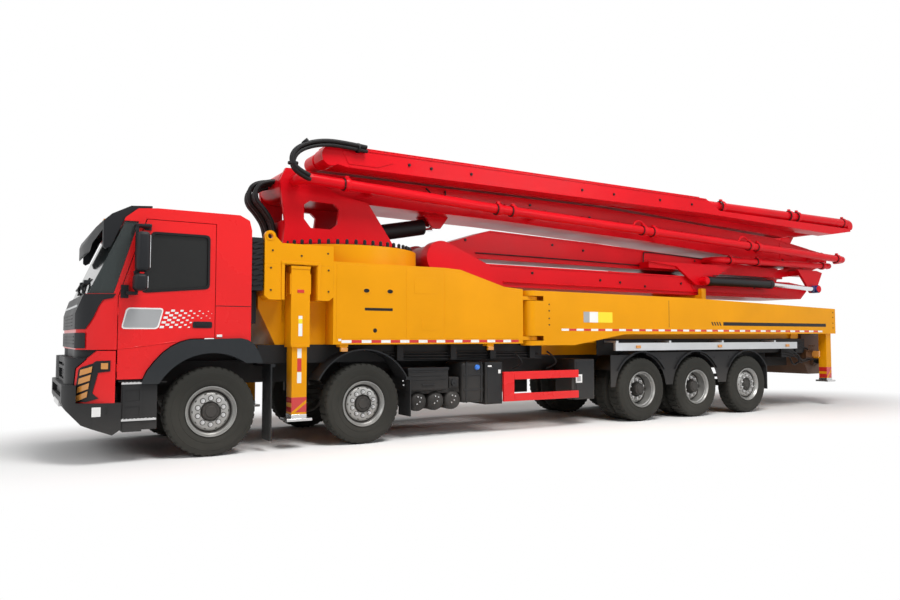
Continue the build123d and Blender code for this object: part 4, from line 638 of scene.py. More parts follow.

# front jacks: tape, striped foot, pad, casing bands, label and lens
for sideName, sign in bothSides():
    leg, arm = f"front_leg_{sideName}", f"front_arm_{sideName}"
    low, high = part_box(leg)
    x0 = (low.x + high.x) / 2
    face = 1.118 + 0.099
    casingFace = 1.118 + 0.125
    for colour, spans in (("plateWhite", ((1.16, 1.28), (0.84, 0.98))), ("lensRed", ((0.99, 1.15),))):
        form = bmesh.new()
        for zLow, zHigh in spans:
            sideBlock(form, sign, x0 - 0.028, x0 + 0.028, face, face + 0.0014, zLow, zHigh)
        closeForm(form, f"legTape_{colour}_{sideName}", colour, leg, smooth=False)
    form = bmesh.new()  # red foot marks with a slanting gap
    yLow, yHigh = sorted((sign * face, sign * (face + 0.0012)))
    addPlate(form, [(x0 - 0.099, 0.470), (x0 + 0.050, 0.470), (x0 - 0.099, 0.585)], yLow, yHigh)
    addPlate(form, [(x0 + 0.099, 0.475), (x0 + 0.099, 0.660), (x0 - 0.099, 0.660), (x0 - 0.099, 0.628)], yLow, yHigh)
    for zLow, zHigh in ((0.470, 0.535), (0.590, 0.660)):
        addBlock(form, (x0 + 0.099, sign * 1.118 - 0.099, zLow), (x0 + 0.1002, sign * 1.118 + 0.099, zHigh))
    closeForm(form, f"footMarks_{sideName}", "lensRed", leg, smooth=False)
    form = bmesh.new()
    addBlock(form, (low.x - 0.003, low.y - 0.003, low.z - 0.001), (high.x + 0.003, high.y + 0.003, low.z + 0.034))
    addBlock(form, (x0 - 0.104, sign * 1.118 - 0.104, low.z + 0.030), (x0 + 0.104, sign * 1.118 + 0.104, low.z + 0.085))
    closeForm(form, f"footPad_{sideName}", "steelBright", leg, bevel=0.005)
    form = bmesh.new()
    sideBlock(form, sign, x0 - 0.12, x0 + 0.12, casingFace, casingFace + 0.010, 1.30, 1.335)
    sideBlock(form, sign, x0 - 0.13, x0 + 0.13, casingFace, casingFace + 0.008, 2.30, 2.34)
    closeForm(form, f"casingBands_{sideName}", "deckAmber", arm, bevel=0.003)
    form = bmesh.new()
    sideBlock(form, sign, x0 - 0.026, x0 + 0.026, casingFace, casingFace + 0.0014, 1.44, 1.70)
    closeForm(form, f"casingLabel_{sideName}", "plateWhite", arm, smooth=False)
    form = bmesh.new()
    sideBlock(form, sign, x0 - 0.026, x0 + 0.026, casingFace + 0.0014, casingFace + 0.002, 1.60, 1.66)
    closeForm(form, f"casingTag_{sideName}", "plateYellow", arm, smooth=False)
    form = bmesh.new()
    sideBlock(form, sign, x0 - 0.045, x0 + 0.045, casingFace, casingFace + 0.006, 1.995, 2.035)
    closeForm(form, f"casingLens_{sideName}", "lensRed", arm, bevel=0.002)
print("front jacks dressed")

# booms: pipe couplings, bolts, edge strips, lines
pipeCouplings = {
    "boom_1": {"y": 0.80, "radius": 0.075, "pairs": ((-1.91, 3.562), (-4.50, 3.447), (-4.79, 3.441), (-7.70, 3.353),
                                                     (-7.96, 3.345), (-10.68, 3.262), (-10.93, 3.254), (-13.70,
                                                                                                        3.169))},
    "boom_2": {"y": 0.62, "radius": 0.065, "pairs": ((-10.30, 2.966), (-11.16, 2.980), (-13.42, 3.015))},
    "boom_4": {"y": 0.775, "radius": 0.095, "pairs": ((-9.86, 3.990), (-12.04, 3.990), (-12.30, 3.990), (-13.98,
                                                                                                         3.990))},
}
for body, run in pipeCouplings.items():
    clamps = bmesh.new()
    bands = bmesh.new()
    for x, z in run["pairs"]:
        r = run["radius"]
        spinRing(clamps, [(r + 0.001, -0.042), (r + 0.020, -0.036), (r + 0.024, -0.012), (r + 0.024, 0.012),
                          (r + 0.020, 0.036), (r + 0.001, 0.042)], (at(x), run["y"], z), (1, 0, -0.03), 32)
        spinRing(bands, [(r + 0.002, 0.044), (r + 0.015, 0.044), (r + 0.015, 0.058), (r + 0.002, 0.058)],
                 (at(x), run["y"], z), (1, 0, -0.03), 32)
        addBlock(clamps, (at(x) - 0.03, run["y"] - 0.02, z + r + 0.01), (at(x) + 0.03, run["y"] + 0.02, z + r + 0.05))
    closeForm(clamps, f"{body}_couplings", "boomRed", body, bevel=0.003)
    closeForm(bands, f"{body}_couplingBands", "rubberCap", body)

boomBolts = {
    "boom_4": (0.880, ((-2.86, 3.94), (-3.23, 3.93), (-3.94, 3.93), (-6.18, 3.92), (-6.91, 3.92), (-8.05, 3.93),
                       (-8.9, 3.93))),
    "boom_1": (0.420, ((-6.75, 3.56), (-9.90, 3.44), (-8.10, 3.50), (-11.72, 3.33), (-12.70, 3.25), (-5.42, 3.66),
                       (-3.30, 3.62), (-12.30, 3.10))),
    "boom_2": (0.280, ((-4.21, 3.00), (-6.01, 3.035), (-6.72, 2.98), (-9.65, 2.95), (-10.03, 2.95))),
    "boom_3": (0.500, ((-5.40, 2.50), (-6.92, 2.44), (-8.03, 2.37), (-7.40, 2.42), (-9.0, 2.46), (-11.2, 2.45))),
}
for body, (face, places) in boomBolts.items():
    form = bmesh.new()
    for x, z in places:
        addRound(form, (at(x), face, z), (at(x), face + 0.014, z), 0.022, 12)
        addRound(form, (at(x), face + 0.012, z), (at(x), face + 0.022, z), 0.013, 6)
        addRound(form, (at(x), -face, z), (at(x), -face - 0.014, z), 0.022, 12)
    if body == "boom_4":  # its far face is inside the stack
        far = [v for v in form.verts if v.co.y < 0]
        bmesh.ops.delete(form, geom=far, context="VERTS")
    closeForm(form, f"{body}_bolts", "rubberCap", body)
print("couplings and bolts on")


def addStrip(form, points, y, depth, height):
    # thin strip standing off a side face, following a line of x and z
    for (x0, z0), (x1, z1) in zip(points, points[1:]):
        low, high = sorted((y, y + depth))
        addPlate(form, [(at(x0), z0), (at(x1), z1), (at(x1), z1 - height), (at(x0), z0 - height)], low, high)


boomEdges = {
    "boom_1": ((0.420, 1, ((-1.30, 3.772), (-7.0, 3.762), (-12.0, 3.557), (-13.20, 3.402))),
               (0.420, 1, ((-2.10, 3.412), (-4.80, 3.372), (-8.0, 3.267), (-12.4, 3.017))),
               (-0.420, -1, ((-1.30, 3.772), (-7.0, 3.762), (-12.0, 3.557), (-13.20, 3.402))),
               (-0.420, -1, ((-2.10, 3.412), (-4.80, 3.372), (-8.0, 3.267), (-12.4, 3.017)))),
    "boom_2": ((0.280, 1, ((-4.70, 3.187), (-7.0, 3.127), (-12.3, 2.897))),
               (0.280, 1, ((-4.30, 2.738), (-8.0, 2.738), (-12.2, 2.746)))),
    "boom_3": ((0.500, 1, ((-4.55, 2.607), (-12.4, 2.607))),
               (-0.500, -1, ((-4.55, 2.607), (-12.4, 2.607)))),
    "boom_4": ((0.880, 1, ((-1.72, 4.072), (-9.28, 4.077))),
               (0.880, 1, ((-1.92, 3.816), (-9.28, 3.816), (-13.4, 3.716)))),
    "boom_5": ((0.460, 1, ((-1.70, 4.037), (-12.9, 4.037))),),
}
for body, runs in boomEdges.items():
    form = bmesh.new()
    for face, side, points in runs:
        addStrip(form, points, face - 0.001 * side, 0.011 * side, 0.026)
    closeForm(form, f"{body}_edges", "boomRed", body, bevel=0.002)

# welded doubler plates and stiffeners on the sides
doublers = {
    "boom_1": (0.420, (((-12.20, 3.47), (-13.10, 3.36), (-13.10, 3.06), (-12.45, 3.05), (-12.20, 3.14)),
                       ((-1.45, 3.73), (-2.30, 3.73), (-2.75, 3.62), (-2.30, 3.43), (-1.45, 3.43)))),
    "boom_2": (0.280, (((-8.22, 3.06), (-10.30, 2.96), (-10.30, 2.75), (-8.22, 2.75)),)),
    "boom_3": (0.500, (((-9.20, 2.57), (-12.30, 2.57), (-12.30, 2.30), (-11.9, 2.27), (-9.40, 2.27)),)),
    "boom_4": (0.880, (((-1.80, 4.02), (-2.35, 4.02), (-2.60, 3.93), (-2.35, 3.84), (-1.90, 3.84)),)),
}
for body, (face, outlines) in doublers.items():
    form = bmesh.new()
    for outline in outlines:
        addPlate(form, [(at(x), z) for x, z in outline], face - 0.001, face + 0.009)
    closeForm(form, f"{body}_doublers", "boomRed", body, bevel=0.003)

# hard lines along the sections, with their clamps
hardLines = {
    "boom_4": ((((-1.95, 0.845, 4.094), (-5.5, 0.845, 4.094), (-9.15, 0.845, 4.094)), 0.009),
               (((-1.95, 0.815, 4.094), (-5.5, 0.815, 4.094), (-9.15, 0.815, 4.094)), 0.009),
               (((-1.95, 0.785, 4.094), (-5.5, 0.785, 4.094), (-9.15, 0.785, 4.094)), 0.009)),
    "boom_1": ((((-4.6, 0.445, 3.60), (-8.0, 0.445, 3.50), (-11.9, 0.445, 3.36), (-12.7, 0.445, 3.30)), 0.011),
               (((-4.6, 0.445, 3.565), (-8.0, 0.445, 3.465), (-11.9, 0.445, 3.325), (-12.6, 0.445, 3.20)), 0.011)),
    "boom_2": ((((-8.20, 0.305, 2.78), (-8.20, 0.305, 3.02), (-8.26, 0.305, 3.06), (-10.3, 0.305, 2.985)), 0.010),
               (((-4.4, 0.300, 2.80), (-6.0, 0.300, 2.80), (-8.1, 0.300, 2.78)), 0.010)),
    "boom_3": ((((-4.8, 0.52, 2.33), (-8.0, 0.52, 2.31), (-12.0, 0.52, 2.31)), 0.010),),
}
for body, runs in hardLines.items():
    for number, (points, radius) in enumerate(runs):
        finish = "rubberCap" if body in ("boom_2",) else "boomRed"
        makeTube(f"{body}_line{number}", [(at(x), y, z) for x, y, z in points], radius, finish, body)
form = bmesh.new()
for step in range(19):
    x = at(-2.1 - step * 0.385)
    addBlock(form, (x - 0.020, 0.770, 4.076), (x + 0.020, 0.860, 4.091))
closeForm(form, "boom_4_clamps", "rubberCap", "boom_4", bevel=0.002)
form = bmesh.new()
for step in range(9):
    x, z = -4.9 - step * 0.85, 3.575 - step * 0.0275
    addBlock(form, (at(x) - 0.022, 0.419, z - 0.035), (at(x) + 0.022, 0.463, z + 0.045))
closeForm(form, "boom_1_clamps", "boomRed", "boom_1", bevel=0.002)
# black loop beside the first section
makeTube("boom_1_loop", [(at(x), y, z) for x, y, z in (
    (-3.40, 0.43, 3.73), (-3.42, 0.50, 3.66), (-3.56, 0.53, 3.52), (-3.72, 0.50, 3.64), (-3.74, 0.43, 3.72))],
    0.013, "hoseBlack", "boom_1")
for number, (x, z, y, body) in enumerate(((-7.45, 3.35, 0.80, "boom_1"), (-10.35, 3.27, 0.80, "boom_1"))):
    makeTube(f"pipeHandle{number}", [(at(x), y, z + 0.07), (at(x - 0.05), y, z + 0.16), (at(x - 0.20), y, z + 0.17),
                                     (at(x - 0.34), y, z + 0.055)], 0.018, "boomRed", body)

# fold cylinder of the second section: barrel, rod, eye and its lines
foldCylinder = {"start": (-9.55, 0.65, 2.5205), "gland": (-11.535, 0.65, 2.5302), "rodEnd": (-13.03, 0.65, 2.4822)}


def spot(name):
    x, y, z = foldCylinder[name]
    return (at(x), y, z)


form = bmesh.new()
addRound(form, spot("start"), spot("gland"), 0.0875, 36)
addRound(form, (at(-11.46), 0.65, 2.530), (at(-11.56), 0.65, 2.530), 0.094, 36)
addRound(form, (at(-9.60), 0.65, 2.521), (at(-9.70), 0.65, 2.521), 0.093, 36)
closeForm(form, "foldBarrel", "rubberCap", "boom_2", bevel=0.004)
form = bmesh.new()
addRound(form, spot("gland"), spot("rodEnd"), 0.0495, 28)
closeForm(form, "foldRod", "chromeRod", "boom_2")
form = bmesh.new()
addRound(form, (at(-12.98), 0.65, 2.4838), (at(-13.06), 0.65, 2.4812), 0.066, 28, 0.055)
addRound(form, (at(-13.13), 0.58, 2.480), (at(-13.13), 0.72, 2.480), 0.085, 32)
closeForm(form, "foldEye", "tankBlue", "boom_2", bevel=0.004)
for number, offset in enumerate((0.0, 0.03)):
    makeTube(f"foldFeed{number}", [(at(x), 0.65, z + offset) for x, z in (
        (-9.75, 2.60), (-10.1, 2.622), (-11.2, 2.628), (-11.42, 2.60))], 0.011, "rubberCap", "boom_2")
print("lines and fold cylinder on")

# hose bundles round the turret nose and the top fold
foldLoop = ((-2.15, 4.075), (-1.75, 4.105), (-1.42, 4.075), (-1.15, 3.96), (-1.06, 3.80), (-1.12, 3.66), (-1.32, 3.585))
for number, (dy, dz) in enumerate(((0.0, 0.0), (0.055, -0.012), (0.022, 0.045), (0.075, 0.040))):
    hose = makeTube(f"foldHose{number}", [(at(x + 0.35 * dz), 0.90 + dy, z + dz - 0.03) for x, z in foldLoop], 0.027,
                    "hoseBlack", "boom_4")
    if number == 0:
        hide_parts("fold_hoses")
form = bmesh.new()
for x, z in ((-2.02, 4.065), (-1.28, 4.02), (-1.08, 3.74)):
    spinRing(form, [(0.062, -0.014), (0.070, -0.014), (0.070, 0.014), (0.062, 0.014)],
             (at(x), 0.938, z), (1, 0, 0.05) if x < -1.9 else ((1, 0, 1) if z > 3.9 else (0, 0, 1)), 28)
closeForm(form, "foldHoseTies", "rubberCap", "boom_4")
turretLoop = ((-1.075, 2.76), (-1.06, 3.00), (-0.93, 3.20), (-0.79, 3.34), (-0.80, 3.50), (-0.92, 3.60), (-1.06, 3.62))
for number in range(7):
    y = -0.22 + number * 0.075
    lift = 0.03 * (number % 2) - 0.02 * (number % 3)
    hose = makeTube(f"turretHose{number}", [(at(x + lift * (1 if 0 < k < 6 else 0)), y, z + (lift if k > 3 else 0))
                                            for k, (x, z) in enumerate(turretLoop)], 0.033, "hoseBlack", "turret")
    if number == 0:
        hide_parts("turret_hoses")
print("hoses laid")

# cab: seals, handles, decals, mirrors, side marker and steps
cabSide = 1.2412  # just outside the door skin


def addRing(form, outer, inner, y, depth):
    # flat frame between two outlines of x and z with as many points
    low, high = sorted((y, y + depth))
    count = len(outer)
    rows = []
    for level in (low, high):
        rows.append([form.verts.new((at(x), level, z)) for x, z in outer])
        rows.append([form.verts.new((at(x), level, z)) for x, z in inner])
    for k in range(count):
        n = (k + 1) % count
        for a, b in ((0, 1), (2, 0), (1, 3), (3, 2)):
            form.faces.new((rows[a][k], rows[a][n], rows[b][n], rows[b][k]))


def roundedOutline(points, radius, steps=5):
    # eases every corner of an outline of x and z
    result = []
    count = len(points)
    for k in range(count):
        corner = Vector(points[k])
        start = corner + (Vector(points[k - 1]) - corner).normalized() * radius
        end = corner + (Vector(points[(k + 1) % count]) - corner).normalized() * radius
        for step in range(steps + 1):
            share = step / steps
            middle = start.lerp(corner, share).lerp(corner.lerp(end, share), share)
            result.append((middle.x, middle.y))
    return result


def shrunk(points, amount):
    middleX = sum(x for x, z in points) / len(points)
    middleZ = sum(z for x, z in points) / len(points)
    return [(x + (amount if x < middleX else -amount), z + (amount if z < middleZ else -amount)) for x, z in points]


def frontOf(nodeName):
    # finds how far forward a CAD node reaches at a given y and z
    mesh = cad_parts[nodeName].data
    tree = BVHTree.FromPolygons([v.co for v in mesh.vertices], [p.vertices for p in mesh.polygons])

    def reach(y, z, fallback):
        hit = tree.ray_cast(Vector((at(3.0), y, z)), Vector((-1, 0, 0)))[0]
        return hit.x if hit else fallback
    return reach


windowOutline = [(0.800, 1.945), (0.057, 2.015), (0.057, 2.640), (0.705, 2.640)]
decalOutline = [(1.020, 1.520), (0.965, 1.765), (0.560, 1.765), (0.620, 1.520)]
for sideName, sign in bothSides():
    door = f"door_{sideName}"
    y = sign * cabSide
    form = bmesh.new()
    addRing(form, roundedOutline(shrunk(windowOutline, -0.012), 0.058), roundedOutline(shrunk(windowOutline, 0.014),
                                                                                       0.045),
            y - sign * 0.003, sign * 0.008)
    closeForm(form, f"windowSeal_{sideName}", "rubberCap", door)
    form = bmesh.new()  # recessed pull
    addPlate(form, [(at(x), z) for x, z in roundedOutline([(0.236, 1.535), (0.236, 1.612), (0.012, 1.612), (0.012,
                                                                                                            1.535)],
                                                          0.022)], *sorted((y, y + sign * 0.007)))
    sideBlock(form, sign, at(0.20), at(0.075), cabSide + 0.006, cabSide + 0.017, 1.560, 1.592)
    sideRound(form, sign, 0.040, 1.573, cabSide + 0.006, cabSide + 0.012, 0.014, 20)
    closeForm(form, f"doorPull_{sideName}", "plasticBlack", door, bevel=0.002)
    form = bmesh.new()  # pressed crease and sill lines
    addStrip(form, ((1.045, 1.300), (0.80, 1.330), (0.40, 1.385)), y - sign * 0.002, sign * 0.006, 0.012)
    closeForm(form, f"doorCrease_{sideName}", "cabRed", door, bevel=0.003)
    form = bmesh.new()
    addRing(form, roundedOutline(decalOutline, 0.045), roundedOutline(shrunk(decalOutline, 0.016), 0.035),
            y, sign * 0.0014)
    for row in range(8):  # checks fade towards the rear
        for column in range(11):
            if (row + column) % 2:
                continue
            size = 0.0135 * (1 - column / 13)
            x = 0.545 - column * 0.0505 - (row - 4) * 0.010
            z = 1.545 + row * 0.0275
            if column > 6 and row < (column - 6):
                continue
            if x < 0.25 and z < 1.63:
                continue
            low, high = sorted((y, y + sign * 0.0014))
            addPlate(form, [(at(x + size * 1.7), z - size), (at(x + size * 1.7 - 0.006), z + size),
                            (at(x - size * 1.7 - 0.006), z + size), (at(x - size * 1.7), z - size)], low, high)
    closeForm(form, f"doorChecks_{sideName}", "plateWhite", door, smooth=False)
    form = bmesh.new()
    addPlate(form, [(at(x), z) for x, z in roundedOutline(shrunk(decalOutline, 0.017), 0.034)],
             *sorted((y, y + sign * 0.0012)))
    closeForm(form, f"doorDecal_{sideName}", "plateGrey", door, smooth=False)
    form = bmesh.new()
    sideBlock(form, sign, at(-0.045), at(-0.110), cabSide, cabSide + 0.008, 1.428, 1.458)
    closeForm(form, f"cabMarker_{sideName}", "plateWhite", "chassis", bevel=0.003)
    form = bmesh.new()
    sideBlock(form, sign, at(-0.030), at(-0.455), 1.2398, 1.2412, 1.800, 1.808)
    closeForm(form, f"cabSeam_{sideName}", "rubberCap", "chassis", smooth=False)

    # mirror housings on their arms
    form = bmesh.new()
    for zLow, zHigh, xLow, xHigh in ((2.165, 2.612, 0.765, 0.905), (1.950, 2.140, 0.785, 0.925)):
        sideBlock(form, sign, at(xLow), at(xHigh), 1.312, 1.546, zLow, zHigh)
    edges = [e for e in form.edges]
    bmesh.ops.bevel(form, geom=edges, offset=0.045, offset_type="OFFSET", segments=5, profile=0.5, affect="EDGES",
                    clamp_overlap=True, material=-1)
    sideBlock(form, sign, at(0.870), at(0.905), 1.365, 1.395, 1.905, 2.712)
    sideBlock(form, sign, at(0.735), at(0.905), 1.2403, 1.400, 2.682, 2.712)
    sideBlock(form, sign, at(0.880), at(0.985), 1.2403, 1.400, 1.905, 1.940)
    sideBlock(form, sign, at(0.860), at(0.915), 1.350, 1.410, 2.130, 2.175)
    sideBlock(form, sign, at(0.715), at(0.790), 1.2403, 1.262, 2.660, 2.735)
    sideBlock(form, sign, at(0.950), at(1.030), 1.2403, 1.268, 1.870, 2.020)
    closeForm(form, f"mirrorShell_{sideName}", "plasticBlack", door, bevel=0.004,
              replaced=(f"mirror_{sideName}",))
    form = bmesh.new()
    for zLow, zHigh, x in ((2.205, 2.575, 0.765), (1.980, 2.110, 0.785)):
        sideBlock(form, sign, at(x - 0.003), at(x + 0.004), 1.345, 1.515, zLow, zHigh)
    closeForm(form, f"mirrorGlass_{sideName}", "chromeRod", door, bevel=0.002)

    # step panel with its bright treads
    form = bmesh.new()
    sideBlock(form, sign, at(0.615), at(1.000), 1.120, 1.228, 0.372, 0.890)
    closeForm(form, f"stepPanel_{sideName}", "plasticBlack", "chassis", bevel=0.006)
    form = bmesh.new()
    for z, yOut in ((0.892, 1.236), (0.478, 1.247)):
        sideBlock(form, sign, at(0.625), at(1.000), 1.120, yOut, z, z + 0.022)
        for step in range(9):
            x = 0.645 + step * 0.041
            sideBlock(form, sign, at(x), at(x + 0.020), 1.14, yOut + 0.003, z + 0.020, z + 0.027)
    closeForm(form, f"stepTreads_{sideName}", "steelBright", "chassis", bevel=0.0015)
    form = bmesh.new()
    addStrip(form, ((1.035, 0.936), (0.70, 0.930), (0.52, 0.915)), sign * 1.2385, sign * 0.004, 0.014)
    closeForm(form, f"sillLine_{sideName}", "rubberCap", "chassis")
print("cab sides dressed")

# front: trim strip, mask louvres, grille bars, step and tow cover
maskFront = frontOf("grille")


def frontRibbon(form, zLow, zHigh, yEnd, lift, depth, reach, fallback, steps=24):
    # ribbon following the nose from side to side
    rows = []
    for step in range(steps + 1):
        y = -yEnd + 2 * yEnd * step / steps
        x = reach(y, (zLow + zHigh) / 2, fallback) + lift
        rows.append([form.verts.new(p) for p in ((x, y, zLow), (x, y, zHigh), (x - depth, y, zHigh), (x - depth, y,
                                                                                                      zLow))])
    for first, second in zip(rows, rows[1:]):
        for a in range(4):
            b = (a + 1) % 4
            form.faces.new((first[a], first[b], second[b], second[a]))
    form.faces.new(rows[0])
    form.faces.new(reversed(rows[-1]))


form = bmesh.new()
frontRibbon(form, 1.775, 1.800, 0.86, 0.010, 0.014, maskFront, at(1.43))
closeForm(form, "maskTrim", "railAlloy", "chassis", bevel=0.003)
form = bmesh.new()
for z in (1.345, 1.385, 1.425):
    frontRibbon(form, z, z + 0.012, 0.80, 0.006, 0.010, maskFront, at(1.43))
for z in (1.56, 1.60, 1.64, 1.68):
    frontRibbon(form, z, z + 0.010, 0.55, 0.006, 0.010, maskFront, at(1.43))
closeForm(form, "maskLouvres", "frameGrey", "chassis", bevel=0.002)
form = bmesh.new()
for z in (0.945, 0.975, 1.005):
    addBlock(form, (at(1.478), -0.515, z), (at(1.496), 0.515, z + 0.008))
for step in range(22):
    y = -0.50 + step * 0.0476
    addBlock(form, (at(1.474), y, 0.926), (at(1.490), y + 0.008, 1.044))
closeForm(form, "grilleBars", "plasticBlack", "chassis")
form = bmesh.new()
addBlock(form, (at(1.535), -0.42, 0.610), (at(1.578), 0.42, 0.668))
for step in range(14):
    addBlock(form, (at(1.540), -0.40 + step * 0.06, 0.667), (at(1.576), -0.375 + step * 0.06, 0.675))
closeForm(form, "bumperStep", "steelBright", "chassis", bevel=0.003)
for sideName, sign in bothSides():
    form = bmesh.new()
    sideBlock(form, sign, at(1.210), at(1.300), 1.2552, 1.2566, 0.545, 0.650)
    closeForm(form, f"bumperLabel_{sideName}", "plateWhite", "chassis", smooth=False)
    form = bmesh.new()
    sideRound(form, sign, 1.150, 0.640, 1.2545, 1.260, 0.016, 16)
    sideRound(form, sign, 1.150, 0.590, 1.2545, 1.260, 0.010, 16)
    closeForm(form, f"bumperCaps_{sideName}", "rubberCap", "chassis")
print("nose dressed")

# wipers, roof markers, visor lamps
screenFront = frontOf("windscreen")
for number, (yPivot, yTip) in enumerate(((0.80, 0.10), (-0.05, -0.75))):
    points = []
    for step in range(6):
        share = step / 5
        y = yPivot + (yTip - yPivot) * share
        z = 1.955 + 0.16 * sin(share * pi * 0.5)
        points.append((screenFront(y, z, at(1.30)) + 0.022, y, z))
    makeTube(f"wiperArm{number}", points, 0.011, "rubberCap", "chassis")
    blade = []
    for step in range(7):
        y = yTip - 0.30 + step * 0.10
        z = 2.10 + (step - 3) * 0.012
        blade.append((screenFront(y, z, at(1.25)) + 0.014, y, z))
    makeTube(f"wiperBlade{number}", blade, 0.012, "rubberCap", "chassis")
for number, y in enumerate((1.02, 0.55)):  # camera stalks on the cowl
    x = screenFront(y, 1.93, at(1.30)) + 0.03
    makeTube(f"cowlStalk{number}", [(x - 0.03, y, 1.86), (x + 0.02, y, 1.95), (x + 0.03, y, 2.02), (x - 0.02,
                                                                                                    y + 0.02, 2.05)],
             0.014, "rubberCap", "chassis")
    form = bmesh.new()
    addBlock(form, (x - 0.055, y - 0.035, 2.025), (x + 0.015, y + 0.045, 2.075))
    closeForm(form, f"cowlCamera{number}", "plasticBlack", "chassis", bevel=0.010)
form = bmesh.new()
for x, y in ((0.86, 0.75), (0.42, 0.60), (0.86, -0.75), (0.42, -0.60)):
    addRound(form, (at(x), y, 2.925), (at(x), y, 2.955), 0.035, 20, 0.026)
    addBall(form, (at(x), y, 2.957), 0.024, 12)
closeForm(form, "roofNubs", "rubberCap", "chassis")
visorFront = frontOf("sun_visor")
form = bmesh.new()
for y in (0.98, 0.62, -0.62, -0.98):
    z = 2.775
    x = visorFront(y, z, at(1.18))
    addBlock(form, (x - 0.02, y - 0.075, z - 0.014), (x + 0.012, y + 0.075, z + 0.014))
closeForm(form, "visorLamps", "lensAmber", "chassis", bevel=0.006)
for sideName, sign in bothSides():  # snorkel ribs behind the cab
    form = bmesh.new()
    for step in range(15):
        z = 2.02 + step * 0.042
        points = [(at(-0.480), z), (at(-0.480), z + 0.018), (at(-0.595), z + 0.058), (at(-0.595), z + 0.040)]
        if sign > 0:
            addPlate(form, points, 1.2435, 1.2495)
    if sign > 0:
        closeForm(form, "snorkelRibs", "frameGrey", "chassis")
    else:
        form.free()
print("screen and roof dressed")

